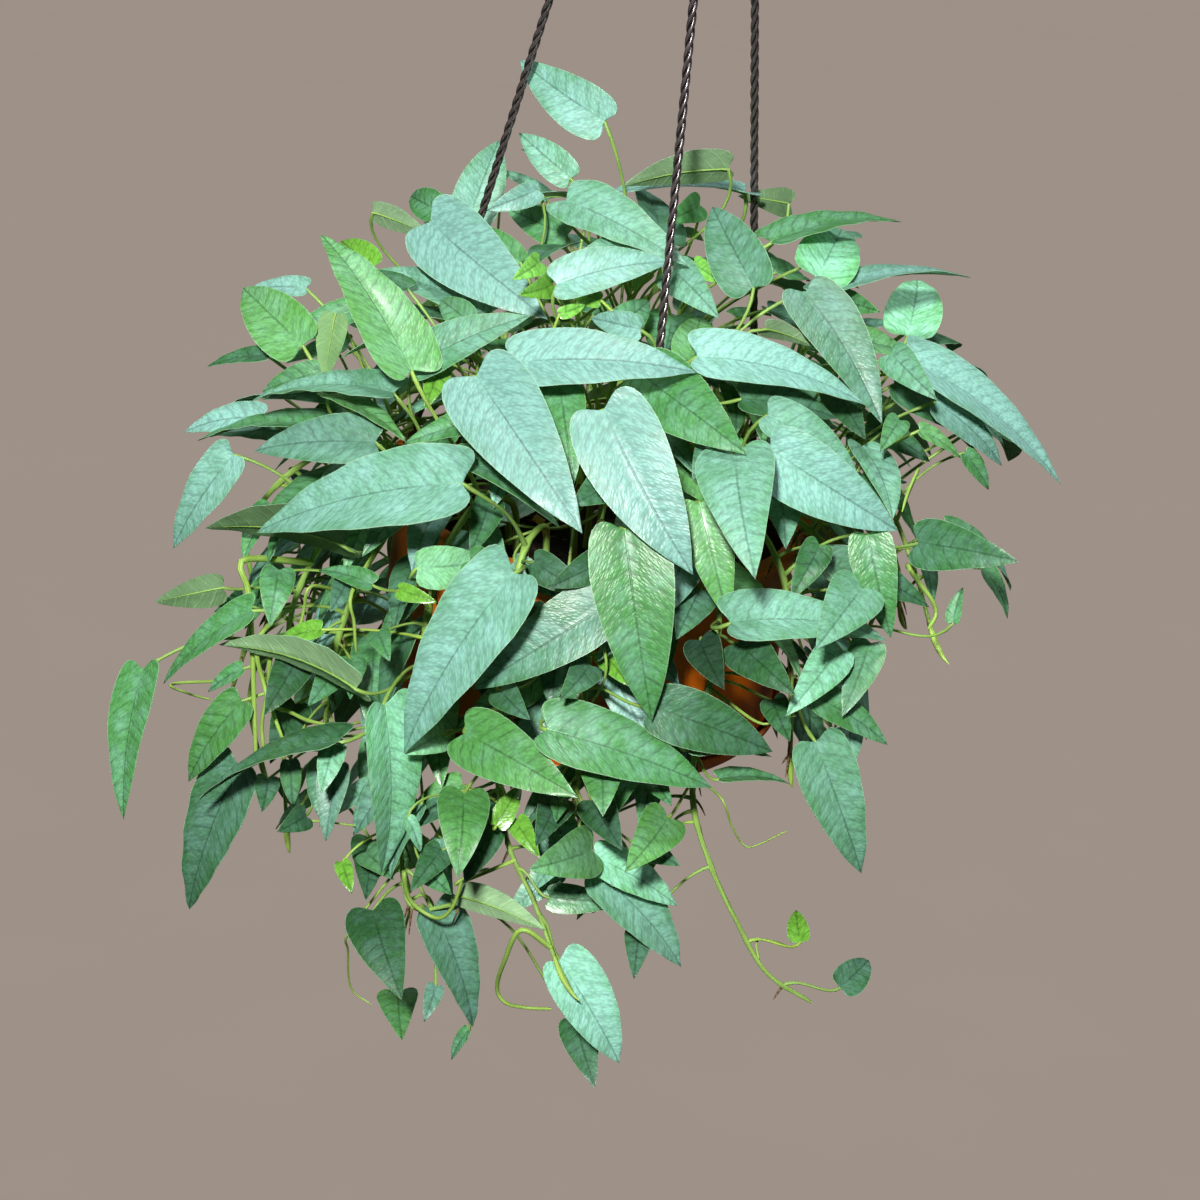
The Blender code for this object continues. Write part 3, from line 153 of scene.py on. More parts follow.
POT_FADED = (0.86, 0.250, 0.028)
CHALK = (0.72, 0.66, 0.58)
SETTLED_DUST = (0.16, 0.12, 0.09)
TURNED_SIDES = 96
EDGE_ANGLE = 50.0


def around(radius, azimuth, height):
    """A point at a radius, an azimuth in degrees and a height above the rim."""
    angle = math.radians(azimuth)
    return Vector((radius * math.cos(angle), radius * math.sin(angle), RIM_Z + height))


def softened(profile, radius):
    """A profile with each of its corners cut round by up to a radius."""
    soft = [profile[0]]
    for before, corner, after in zip(profile, profile[1:], profile[2:]):
        a, b, c = Vector(before), Vector(corner), Vector(after)
        cut = min(radius, 0.45 * (a - b).length, 0.45 * (c - b).length)
        start, end = b + (a - b).normalized() * cut, b + (c - b).normalized() * cut
        for t in (0.0, 0.33, 0.67, 1.0):
            soft.append(tuple(start * (1 - t) ** 2 + b * (2 * t * (1 - t)) + end * t * t))
    return soft + [profile[-1]]


def turned_shape(profile, steps):
    """Points and faces of a closed profile turned round Z, its two ends on the axis."""
    ring = profile[1:-1]
    points = [(0.0, 0.0, profile[0][1]), (0.0, 0.0, profile[-1][1])]
    for k in range(steps):
        angle = math.tau * k / steps
        points += [(r * math.cos(angle), r * math.sin(angle), z) for r, z in ring]
    faces = []
    for k in range(steps):
        a, b = 2 + len(ring) * k, 2 + len(ring) * ((k + 1) % steps)
        faces.append((0, a, b))
        faces += [(a + i, a + i + 1, b + i + 1, b + i) for i in range(len(ring) - 1)]
        faces.append((1, b + len(ring) - 1, a + len(ring) - 1))
    return points, faces


def smoothed(mesh, sharp=EDGE_ANGLE):
    """Shade a mesh smooth but for its real edges."""
    mesh.shade_smooth()
    mesh.set_sharp_from_angle(angle=math.radians(sharp))


def new_piece(name, points, faces, materials, sharp=EDGE_ANGLE):
    """A mesh object with outward faces, shaded smooth but for its real edges."""
    mesh = bpy.data.meshes.new(name)
    mesh.from_pydata([tuple(p) for p in points], [], faces)
    body = bmesh.new()
    body.from_mesh(mesh)
    bmesh.ops.recalc_face_normals(body, faces=body.faces)
    body.to_mesh(mesh)
    body.free()
    for made in materials:
        mesh.materials.append(made)
    smoothed(mesh, sharp)
    piece = bpy.data.objects.new(name, mesh)
    bpy.context.scene.collection.objects.link(piece)
    return piece


def put(tree, kind, sockets=(), **settings):
    """A shader node with its settings, each socket given a value or what another node puts out."""
    made = tree.nodes.new("ShaderNode" + kind)
    for name, value in settings.items():
        setattr(made, name, value)
    for key, value in dict(sockets).items():
        if isinstance(value, bpy.types.NodeSocket):
            tree.links.new(value, made.inputs[key])
        else:
            made.inputs[key].default_value = value
    return made


def sums(tree, operation, first, second=0.0, third=0.0):
    """What a Math node puts out."""
    return put(tree, "Math", {0: first, 1: second, 2: third}, operation=operation).outputs[0]


def between(tree, value, low, high, to_low=0.0, to_high=1.0):
    """A value brought smoothly from one range to another."""
    reach = {"Value": value, "From Min": low, "From Max": high, "To Min": to_low, "To Max": to_high}
    return put(tree, "MapRange", reach, interpolation_type="SMOOTHSTEP").outputs[0]


def blended(tree, share, first, second):
    """Two colours mixed by a share of the second."""
    colours = [(*c, 1.0) if isinstance(c, tuple) and len(c) == 3 else c for c in (first, second)]
    return put(tree, "Mix", {0: share, 6: colours[0], 7: colours[1]}, data_type="RGBA").outputs[2]


def noise_over(tree, place, scale, detail, **more):
    """Soft noise over a surface."""
    return put(tree, "TexNoise", {"Vector": place, "Scale": scale, "Detail": detail, **more}).outputs[0]


def linked(tree, node, **values):
    """Link values to a node's named sockets."""
    for title, value in values.items():
        tree.links.new(value, node.inputs[title.replace("_", " ")])


def finished(tree, shader, colour, roughness, height, strength, distance):
    """Give a shader its colour, its roughness and the bumps of its surface."""
    bump = put(tree, "Bump", {"Strength": strength, "Distance": distance, "Height": height})
    linked(tree, shader, Base_Color=colour, Roughness=roughness, Normal=bump.outputs[0])


def new_group(name, inputs, outputs):
    """A shader node group with named sockets, and its two end nodes."""
    tree = bpy.data.node_groups.new(name, "ShaderNodeTree")
    for title, kind in inputs:
        tree.interface.new_socket(title, in_out="INPUT", socket_type="NodeSocket" + kind)
    for title, kind in outputs:
        tree.interface.new_socket(title, in_out="OUTPUT", socket_type="NodeSocket" + kind)
    return tree, tree.nodes.new("NodeGroupInput"), tree.nodes.new("NodeGroupOutput")


def new_material(name, **plain):
    """A material with plain values on its Principled shader, its tree and that shader."""
    made = bpy.data.materials.new(name)
    made.use_nodes = True
    shader = made.node_tree.nodes["Principled BSDF"]
    for title, value in plain.items():
        shader.inputs[title.replace("_", " ").title().replace("Ior", "IOR")].default_value = value
    return made, made.node_tree, shader


def plastic_group():
    """Moulded plastic: uneven dye, fine scuffs, dust on what faces up, chalky water marks up to a height."""
    tree, given, gives = new_group(
        "moulded_plastic",
        (("Colour", "Color"), ("Faded", "Color"), ("Grain Size", "Float"), ("Marks Below", "Float"),
         ("Dust", "Float")),
        (("Colour", "Color"), ("Roughness", "Float"), ("Height", "Float")),
    )
    place = put(tree, "TexCoord").outputs["Object"]
    cloud = noise_over(tree, place, 28.0, 4.0)
    grain = noise_over(tree, place, given.outputs["Grain Size"], 2.0)
    long_way = put(tree, "Mapping", {"Vector": place, "Scale": (1.0, 1.0, 9.0)}).outputs[0]
    scuff = noise_over(tree, long_way, 110.0, 6.0, Roughness=0.7)
    scuffs = between(tree, scuff, 0.60, 0.72)
    height = put(tree, "SeparateXYZ", {0: place}).outputs["Z"]
    above = sums(tree, "SUBTRACT", height, given.outputs["Marks Below"])
    ragged = sums(tree, "MULTIPLY_ADD", cloud, 0.05, above)
    marks = between(tree, ragged, 0.040, 0.005)
    ringed = sums(tree, "MULTIPLY", marks, between(tree, scuff, 0.38, 0.62))
    facing = put(tree, "SeparateXYZ", {0: put(tree, "NewGeometry").outputs["Normal"]}).outputs["Z"]
    settled = sums(tree, "MULTIPLY", between(tree, facing, 0.3, 1.0), given.outputs["Dust"])
    dust = sums(tree, "MULTIPLY", settled, between(tree, cloud, 0.35, 0.7))
    faded = given.outputs["Faded"]
    dyed = blended(tree, between(tree, cloud, 0.35, 0.75, 0.0, 0.35), given.outputs["Colour"], faded)
    scuffed = blended(tree, sums(tree, "MULTIPLY", scuffs, 0.18), dyed, faded)
    chalky = blended(tree, sums(tree, "MULTIPLY", ringed, 0.24), scuffed, CHALK)
    dusty = blended(tree, sums(tree, "MULTIPLY", dust, 0.5), chalky, SETTLED_DUST)
    rough = sums(tree, "MULTIPLY_ADD", scuffs, 0.16, between(tree, cloud, 0.3, 0.7, 0.30, 0.42))
    worn = sums(tree, "MULTIPLY_ADD", sums(tree, "ADD", ringed, dust), 0.25, rough)
    scored = sums(tree, "MULTIPLY_ADD", scuffs, -0.4, grain)
    linked(tree, gives, Colour=dusty, Roughness=worn, Height=scored)
    return tree


PLASTIC = plastic_group()


def plastic(name, colour, faded, grain, marks_below, dust, **plain):
    """A moulded plastic in its own colours."""
    made, tree, shader = new_material(name, **plain)
    values = {"Colour": (*colour, 1.0), "Faded": (*faded, 1.0), "Grain Size": grain, "Dust": dust}
    look = put(tree, "Group", {**values, "Marks Below": marks_below}, node_tree=PLASTIC).outputs
    finished(tree, shader, look["Colour"], look["Roughness"], look["Height"], 0.25, 0.0004)
    return made


def joined(target, operation, helpers):
    """Join each helper to the target or cut it away, and let it go."""
    for helper in helpers:
        step = target.modifiers.new(operation.title(), "BOOLEAN")
        step.operation = operation
        step.object = helper
        step.solver = "EXACT"
    bpy.context.view_layer.update()
    shape = bpy.data.meshes.new_from_object(target.evaluated_get(bpy.context.evaluated_depsgraph_get()))
    target.modifiers.clear()
    target.data = shape
    for helper in helpers:
        bpy.data.objects.remove(helper, do_unlink=True)


def lug_helper(name, place, radius, half_height, steps, soft):
    """A low round post about a lug's place."""
    outline = [(0.0, half_height), (radius, half_height), (radius, -half_height), (0.0, -half_height)]
    points, faces = turned_shape(softened(outline, soft), steps)
    return new_piece(name, [Vector(p) + place for p in points], faces, [])


pot_finish = plastic("terracotta_plastic", POT_COLOUR, POT_FADED, 900.0, FOOT_Z, 0.8, specular_ior_level=0.55)
pot = new_piece("pot_shell", *turned_shape(softened(POT_PROFILE, 0.0016), TURNED_SIDES), [pot_finish])
lug_places = [around(STRAND_CIRCLE, azimuth, -RIM_THICKNESS / 2) for azimuth in STRAND_AZIMUTHS]
lugs = [lug_helper("lug", place, LUG_RADIUS, RIM_THICKNESS / 2, 28, 0.0008) for place in lug_places]
holes = [lug_helper("hole", place, HOLE_RADIUS, HOLE_HALF_DEPTH, 20, 0.0) for place in lug_places]
joined(pot, "UNION", lugs)
joined(pot, "DIFFERENCE", holes)
smoothed(pot.data)
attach(pot, "root")
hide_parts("pot")

# Saucer. A shallow dish of the same plastic, clipped on under the pot, with a thin turned-out lip.
# It catches the water, so it carries more water marks and dust than the pot.
GAP = 0.0003
SAUCER_RADIUS = 0.1100
SAUCER_HEIGHT = 0.014
SAUCER_WALL = 0.0020
SAUCER_Z = FOOT_Z - GAP - SAUCER_WALL
SAUCER_PROFILE = (
    (0.0, SAUCER_Z + SAUCER_WALL),
    (SAUCER_RADIUS - 0.0095, SAUCER_Z + SAUCER_WALL),
    (SAUCER_RADIUS - 0.0030, SAUCER_Z + SAUCER_HEIGHT - 0.004),
    (SAUCER_RADIUS - 0.0020, SAUCER_Z + SAUCER_HEIGHT),
    (SAUCER_RADIUS, SAUCER_Z + SAUCER_HEIGHT),
    (SAUCER_RADIUS - 0.0010, SAUCER_Z + SAUCER_HEIGHT - 0.004),
    (SAUCER_RADIUS - 0.0070, SAUCER_Z + 0.003),
    (SAUCER_RADIUS - 0.0105, SAUCER_Z),
    (0.0, SAUCER_Z),
)
SAUCER_COLOUR = (0.78, 0.160, 0.006)
SAUCER_FADED = (0.82, 0.240, 0.035)
saucer_finish = plastic("saucer_plastic", SAUCER_COLOUR, SAUCER_FADED, 900.0, SAUCER_Z, 1.0)
saucer_shape = turned_shape(softened(SAUCER_PROFILE, 0.0007), TURNED_SIDES)
saucer = new_piece("saucer_dish", *saucer_shape, [saucer_finish])
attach(saucer, "root")
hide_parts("saucer")

# Potting mix. Dark, damp peat and fine bark that fills the pot to two centimetres under its rim, with a
# lumpy top. Chips of bark and a few pale grains of perlite lie on it, and a scrap of a fallen yellow leaf.
SOIL_BELOW_RIM = 0.020
SOIL_BUMP = 0.0025
SOIL_Z = RIM_Z - SOIL_BELOW_RIM
SOIL_RINGS = 26
SOIL_SIDES = 72
wall_slope = (WALL_TOP_RADIUS - WALL_FOOT_RADIUS - FOOT_BULGE) / (RIM_Z - FOOT_Z - BEND_HEIGHT)
soil_edge = WALL_TOP_RADIUS - WALL - wall_slope * SOIL_BELOW_RIM - 2 * GAP


def soil_height(x, y):
    """How high the mix lies at a place: broad heaps with crumbs on them."""
    heaps = noise.noise(Vector((x * 38.0, y * 38.0, 0.5)))
    crumbs = noise.noise(Vector((x * 150.0, y * 150.0, 4.5)))
    return SOIL_Z + SOIL_BUMP * (0.75 * heaps + 0.42 * crumbs)


def level_ring(radius, sides):
    """Places evenly round the pot's axis."""
    angles = [math.tau * k / sides for k in range(sides)]
    return [(radius * math.cos(angle), radius * math.sin(angle)) for angle in angles]


soil_points, soil_faces = [(0.0, 0.0, soil_height(0.0, 0.0))], []
for ring in range(1, SOIL_RINGS + 1):
    level = level_ring(soil_edge * ring / SOIL_RINGS, SOIL_SIDES)
    soil_points += [(x, y, soil_height(x, y)) for x, y in level]
for radius, height in (
    (WALL_FOOT_RADIUS + FOOT_BULGE - WALL - 2 * GAP, FOOT_Z + 0.0118),
    (WALL_FOOT_RADIUS - 0.0116, FOOT_Z + WALL + GAP),
):
    soil_points += [(x, y, height) for x, y in level_ring(radius, SOIL_SIDES)]
for k in range(SOIL_SIDES):
    n = (k + 1) % SOIL_SIDES
    soil_faces.append((0, 1 + k, 1 + n))
    for ring in range(SOIL_RINGS + 1):
        a = 1 + SOIL_SIDES * ring
        soil_faces.append((a + k, a + SOIL_SIDES + k, a + SOIL_SIDES + n, a + n))
floor_ring = 1 + SOIL_SIDES * (SOIL_RINGS + 1)
soil_faces.append(tuple(range(floor_ring, floor_ring + SOIL_SIDES)))


def shifted(faces, start):
    """Faces as they are in a mesh that already has some points."""
    return [tuple(i + start for i in face) for face in faces]


def chip(draw, centre, size, flat):
    """A crumb or chip of bark: an uneven six-cornered lump."""
    corners = ((1, 0, 0), (0, 1, 0), (-1, 0, 0), (0, -1, 0), (0, 0, flat), (0, 0, -flat))
    lump = [Vector(corner) * draw.uniform(0.7, 1.15) for corner in corners]
    turn = Matrix.Rotation(draw.uniform(0, 6.28), 3, "Z") @ Matrix.Rotation(draw.uniform(-0.5, 0.5), 3, "X")
    stretch = draw.uniform(1.0, 2.6)
    points = [centre + turn @ Vector((p.x * size * stretch, p.y * size, p.z * size)) for p in lump]
    return points, [(0, 1, 4), (1, 2, 4), (2, 3, 4), (3, 0, 4), (1, 0, 5), (2, 1, 5), (3, 2, 5), (0, 3, 5)]


def mix_material(name, dark, pale, size, roughness):
    """Damp peat or bark: dark and pale crumbs in an uneven dye."""
    made, tree, shader = new_material(name, specular_ior_level=0.3)
    place = put(tree, "TexCoord").outputs["Object"]
    crumbs = put(tree, "TexVoronoi", {"Vector": place, "Scale": size}).outputs["Color"]
    tint = put(tree, "SeparateColor", {0: crumbs}).outputs[0]
    cloud = noise_over(tree, place, size * 0.3, 5.0)
    shade = sums(tree, "MULTIPLY", between(tree, tint, 0.2, 1.0), between(tree, cloud, 0.35, 0.7))
    rough = between(tree, cloud, 0.3, 0.7, roughness - 0.2, roughness)
    finished(tree, shader, blended(tree, shade, dark, pale), rough, cloud, 0.6, 0.0008)
    return made


PEAT, CRUMB, BARK, PERLITE, SCRAP = range(5)
# What lies on the mix: how many of them, their size, how flat they are and their finish
CHIPS = (
    (210, 0.0011, 0.70, CRUMB),
    (90, 0.0019, 0.35, CRUMB),
    (120, 0.0013, 0.30, BARK),
    (26, 0.0010, 0.80, PERLITE),
)
CLEAR_OF_WALL = 0.004
SCRAP_PX = (534, 521)
SCRAP_SIZE = 0.0038
SCRAP_LIFT = 0.0015
soil_draw = random.Random(5)
chip_skins = []


def lay_chip(centre, size, flat, skin):
    """Add a chip to what lies on the mix."""
    points, faces = chip(soil_draw, centre, size, flat)
    soil_faces.extend(shifted(faces, len(soil_points)))
    soil_points.extend(points)
    chip_skins.extend([skin] * len(faces))


for count, size, flat, skin in CHIPS:
    for k in range(count):
        radius = (soil_edge - CLEAR_OF_WALL) * math.sqrt(soil_draw.random())
        angle = soil_draw.uniform(0, math.tau)
        x, y = radius * math.cos(angle), radius * math.sin(angle)
        centre = Vector((x, y, soil_height(x, y) + 0.3 * flat * size))
        lay_chip(centre, size * soil_draw.uniform(0.7, 1.5), flat, skin)
scrap_centre = seen_at(*SCRAP_PX, 0.12)
while scrap_centre.z > soil_height(scrap_centre.x, scrap_centre.y) + SCRAP_LIFT:
    scrap_centre = scrap_centre.lerp(EYE, -0.0005)
for lift, turn in ((0.000, 0.2), (0.0012, 1.1)):
    lay_chip(scrap_centre + Vector((0.002 * turn, 0.0, lift)), SCRAP_SIZE, 0.16, SCRAP)
mix_skins = [
    mix_material("damp_peat", (0.010, 0.007, 0.005), (0.040, 0.026, 0.017), 420.0, 0.95),
    mix_material("peat_crumb", (0.016, 0.010, 0.007), (0.060, 0.036, 0.022), 600.0, 0.90),
    mix_material("bark_chip", (0.070, 0.036, 0.018), (0.240, 0.135, 0.070), 500.0, 0.80),
    mix_material("perlite", (0.42, 0.40, 0.36), (0.70, 0.68, 0.62), 700.0, 0.85),
    mix_material("dry_leaf_scrap", (0.620, 0.330, 0.040), (0.860, 0.560, 0.110), 260.0, 0.70),
]
plain_faces = len(soil_faces) - len(chip_skins)
mix = new_piece("potting_mix_top", soil_points, soil_faces, mix_skins, sharp=35.0)
mix.data.polygons.foreach_set("material_index", [PEAT] * plain_faces + chip_skins)
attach(mix, "root")
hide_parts("potting_mix")

# Hanger strands. Three cords, each of three dark plies laid up together, run taut from the hook's collar
# through the lugs. Each ends below its lug in a moulded stop bead.
BEAD_RADIUS = 0.0030
BEAD_LENGTH = 0.009
COLLAR_BOTTOM = -0.066
PLIES = 3
PLY_CENTRE = 0.00104
PLY_RADIUS = 0.00116
LAY_LENGTH = 0.0212
RINGS_A_LAY = 15
MM = 1000
# The stop bead: how far along it, and its girth there
BEAD_SHAPE = (
    (0.0, 0.35), (0.05, 0.68), (0.16, 0.93), (0.4, 1.0), (0.7, 1.0), (0.88, 0.95), (0.97, 0.86), (1.0, 0.74),
)
OFF_LINE = Vector((0.31, 0.95, 0.05))  # a way that no tube here runs in
CORD_BROWN = (0.040, 0.029, 0.029)
CORD_PALE = (0.100, 0.076, 0.078)
CORD_WORN = (0.17, 0.135, 0.138)
# Near-black painted shade for the grooves between the plies
CORD_GROOVE_SHADE = (0.003, 0.002, 0.002)


def strand_line(azimuth):
    """A hanger strand's two ends: in the hook's collar and below its lug."""
    toward = around(STRAND_CIRCLE, azimuth, -RIM_THICKNESS / 2)
    top = toward * ((COLLAR_BOTTOM + 0.006) / toward.z)
    low = toward * ((toward.z - RIM_THICKNESS / 2 - GAP - BEAD_LENGTH) / toward.z)
    return top, low


def wall_faces(rings, sides):
    """The faces between a tube's rings."""
    faces = []
    for k in range(rings - 1):
        for i in range(sides):
            a, b = sides * k + i, sides * k + (i + 1) % sides
            faces.append((a, b, b + sides, a + sides))
    return faces


def tube_shape(path, radii, sides):
    """Points, faces and places (run and girth in millimetres) of a closed tube along a path."""
    last = len(path) - 1
    ahead = [(path[min(k + 1, last)] - path[max(k - 1, 0)]).normalized() for k in range(last + 1)]
    across = ahead[0].cross(OFF_LINE).normalized()
    points, places, run = [], [], 0.0
    for k, centre in enumerate(path):
        across = (across - ahead[k] * across.dot(ahead[k])).normalized()
        other = ahead[k].cross(across)
        run += (centre - path[max(k - 1, 0)]).length
        for i in range(sides):
            angle = math.tau * i / sides
            points.append(centre + (across * math.cos(angle) + other * math.sin(angle)) * radii[k])
            places.append((MM * run, MM * radii[k] * math.sin(angle)))
    ends = [tuple(reversed(range(sides))), tuple(range(last * sides, (last + 1) * sides))]
    return points, ends + wall_faces(last + 1, sides), places


def cord_material():
    """Dark polypropylene cord with fine filaments and a waxy gloss, and painted shade in the grooves between
    its plies.
    """
    gloss = {"specular_ior_level": 0.8, "coat_weight": 0.5, "coat_roughness": 0.16}
    made, tree, shader = new_material("dark_cord", **gloss)
    place = put(tree, "TexCoord").outputs["Object"]
    drawn = put(tree, "Mapping", {"Vector": place, "Scale": (1.0, 1.0, 0.08)}).outputs[0]
    threads = noise_over(tree, drawn, 2600.0, 3.0)
    cloud = noise_over(tree, place, 60.0, 3.0)
    dyed = blended(tree, between(tree, threads, 0.35, 0.70), CORD_BROWN, CORD_PALE)
    worn = blended(tree, between(tree, cloud, 0.5, 0.8, 0.0, 0.25), dyed, CORD_WORN)
    from_axis = put(tree, "Attribute", attribute_name="from_axis").outputs["Fac"]
    # Painted shade: the grooves between the plies, nearest the cord's axis, go near black.
    groove_shaded = blended(tree, between(tree, from_axis, 1.45, 2.10), CORD_GROOVE_SHADE, worn)
    finished(tree, shader, groove_shaded, between(tree, threads, 0.3, 0.7, 0.24, 0.34), threads, 0.15, 0.0001)
    return made


cord_finish = cord_material()
bead_finish = plastic("stop_bead", (0.035, 0.024, 0.022), (0.08, 0.06, 0.055), 1500.0, -2.0, 0.3)
for number, azimuth in enumerate(STRAND_AZIMUTHS):
    top, low = strand_line(azimuth)
    line = (top - low).normalized()
    across = line.cross(Vector((0.0, 1.0, 0.0))).normalized()
    other = line.cross(across)
    start, end = low + line * (BEAD_LENGTH * 0.6), top
    count = round((end - start).length / LAY_LENGTH * RINGS_A_LAY)
    points, faces = [], []
    for ply in range(PLIES):
        path = []
        for k in range(count + 1):
            turn = math.tau * (k / RINGS_A_LAY + ply / PLIES)
            centre = start.lerp(end, k / count)
            path.append(centre + (across * math.cos(turn) + other * math.sin(turn)) * PLY_CENTRE)
        ply_points, ply_faces = tube_shape(path, [PLY_RADIUS] * len(path), 8)[:2]
        faces += shifted(ply_faces, len(points))
        points += ply_points
    cord_faces, cord_points = len(faces), len(points)
    bead_path = [low + line * (BEAD_LENGTH * t) for t, girth in BEAD_SHAPE]
    bead_radii = [BEAD_RADIUS * girth for t, girth in BEAD_SHAPE]
    bead_points, bead_faces = tube_shape(bead_path, bead_radii, 18)[:2]
    faces += shifted(bead_faces, len(points))
    points += bead_points
    strand = new_piece("cord_" + str(number + 1), points, faces, [cord_finish, bead_finish])
    skins = [0] * cord_faces + [1] * (len(faces) - cord_faces)
    strand.data.polygons.foreach_set("material_index", skins)
    depth = strand.data.attributes.new("from_axis", "FLOAT", "POINT")
    off_axis = [MM * (point - start).cross(line).length for point in points[:cord_points]]
    depth.data.foreach_set("value", off_axis + [BEAD_RADIUS * MM] * (len(points) - cord_points))
    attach(strand, "root")
    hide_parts("strand_" + str(number + 1))

# Hook. One moulding of dark brown plastic: a domed collar that takes the three cords in its sockets, and a
# round crook grown from its top, which the whole plant hangs by.
COLLAR_RADIUS = 0.0195
COLLAR_TOP = -0.046
CROOK_RADIUS = 0.0150
CROOK_WIRE = 0.0028
CROOK_KNOT_EVERY = 20  # degrees
SOCKET_DEPTH = 0.012


def smooth_path(knots, count):
    """Evenly spaced points on a smooth curve through the knots."""
    ends = [knots[0] * 2 - knots[1]] + list(knots) + [knots[-1] * 2 - knots[-2]]
    fine = []
    for i in range(1, len(ends) - 2):
        a, b, c, d = ends[i - 1], ends[i], ends[i + 1], ends[i + 2]
        for k in range(12):
            t = k / 12
            fine.append(
                0.5 * (2 * b + (c - a) * t + (2 * a - 5 * b + 4 * c - d) * t * t
                       + (3 * b - a - 3 * c + d) * t * t * t)
            )
    fine.append(knots[-1].copy())
    run = [0.0]
    for p, q in zip(fine, fine[1:]):
        run.append(run[-1] + (q - p).length)
    points = []
    for k in range(count):
        want = run[-1] * k / (count - 1)
        i = min(max(int(np.searchsorted(run, want)) - 1, 0), len(fine) - 2)
        t = (want - run[i]) / max(run[i + 1] - run[i], 1e-9)
        points.append(fine[i].lerp(fine[i + 1], min(max(t, 0.0), 1.0)))
    return points


hook_finish = plastic("hook_plastic", (0.034, 0.022, 0.019), (0.085, 0.062, 0.055), 1200.0, -2.0, 0.5)
collar_profile = (
    (0.0, COLLAR_TOP + 0.004),
    (0.0050, COLLAR_TOP + 0.003),
    (COLLAR_RADIUS * 0.72, COLLAR_TOP - 0.002),
    (COLLAR_RADIUS, COLLAR_TOP - 0.008),
    (COLLAR_RADIUS, COLLAR_BOTTOM + 0.001),
    (COLLAR_RADIUS - 0.001, COLLAR_BOTTOM),
    (0.0, COLLAR_BOTTOM),
)
hook = new_piece("hook_moulding", *turned_shape(softened(collar_profile, 0.0028), 64), [hook_finish])
crook_centre = Vector((0.0, 0.0, -CROOK_RADIUS))
crook_line = CROOK_RADIUS + CROOK_WIRE
crook_knots = [
    Vector((0.0, 0.0, COLLAR_TOP - 0.004)),
    Vector((0.0, 0.0, COLLAR_TOP + 0.006)),
    Vector((0.25 * crook_line, 0.0, crook_centre.z - 1.02 * crook_line)),
]
for degrees in range(-50, 211, CROOK_KNOT_EVERY):
    angle = math.radians(degrees)
    crook_knots.append(crook_centre + Vector((math.cos(angle), 0.0, math.sin(angle))) * crook_line)
crook_knots.append(crook_knots[-1] + Vector((-0.004, 0.0, -0.004)))
crook_path = smooth_path(crook_knots, 96)
crook_radii = [CROOK_WIRE] * len(crook_path)
for k, share in ((1, 0.5), (2, 0.8), (3, 0.94)):
    crook_radii[-k] = CROOK_WIRE * share
crook = new_piece("crook", *tube_shape(crook_path, crook_radii, 18)[:2], [hook_finish])
sockets = []
for azimuth in STRAND_AZIMUTHS:
    top, low = strand_line(azimuth)
    line = (top - low).normalized()
    reach = [top + line * GAP, top - line * SOCKET_DEPTH]
    sockets.append(new_piece("socket", *tube_shape(reach, [STRAND_RADIUS + GAP] * 2, 20)[:2], []))
joined(hook, "UNION", [crook])
joined(hook, "DIFFERENCE", sockets)
smoothed(hook.data)
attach(hook, "root")
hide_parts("hook")

# Stems. Green vines of thirty-five centimetres or less: seventeen trail over the rim and hang, eleven stand
# in the pot. They are rooted in the mix, swell a little at each node and mostly end in a rolled new leaf.
STEM_RADIUS = 0.0020
STEM_TAPER = 0.45
ROOT_DEPTH = 0.016
NODE_SPACING = 0.029
FEWEST_NODES = 6
SHOULDER = -0.035  # where a trailing vine hangs free
HANG_STEP = 0.05
SWAY = 0.006
# Trailing vines: azimuth in degrees, radius at the soil, height over the rim, radius where it hangs, height
# of the end, and the drift of the azimuth on the way down
TRAILS = {
    "trail_front": (-105.0, 0.082, 0.020, 0.138, -0.060, 0.0),
    "trail_front_left": (-122.0, 0.070, 0.026, 0.142, -0.070, 0.0),
    "trail_left_apron": (-138.0, 0.086, 0.022, 0.150, -0.150, -6.0),
    "trail_left_low": (-152.0, 0.074, 0.030, 0.158, -0.185, -4.0),
    "trail_left_tangle": (-166.0, 0.086, 0.024, 0.166, -0.165, -4.0),
    "trail_left": (-179.0, 0.072, 0.030, 0.178, -0.150, 2.0),
    "trail_left_back": (149.0, 0.084, 0.024, 0.165, -0.120, 4.0),
    "trail_front_right": (-88.0, 0.070, 0.026, 0.136, -0.120, 2.0),
    "runner_right": (-60.0, 0.086, 0.020, 0.134, -0.045, 0.0),
    "trail_right_front": (-44.0, 0.072, 0.028, 0.144, -0.085, 3.0),
    "trail_right_low": (-25.0, 0.084, 0.022, 0.152, -0.095, 2.0),
    "trail_right": (-7.0, 0.070, 0.028, 0.148, -0.012, 0.0),
    "trail_right_back": (12.0, 0.084, 0.026, 0.168, -0.060, 3.0),
    "trail_back_right": (62.0, 0.078, 0.026, 0.160, -0.130, 3.0),
    "trail_back": (84.0, 0.084, 0.022, 0.156, -0.190, -3.0),
    "trail_back_left": (106.0, 0.074, 0.028, 0.160, -0.145, 4.0),
    "trail_far_left": (127.0, 0.086, 0.022, 0.162, -0.170, -3.0),
}
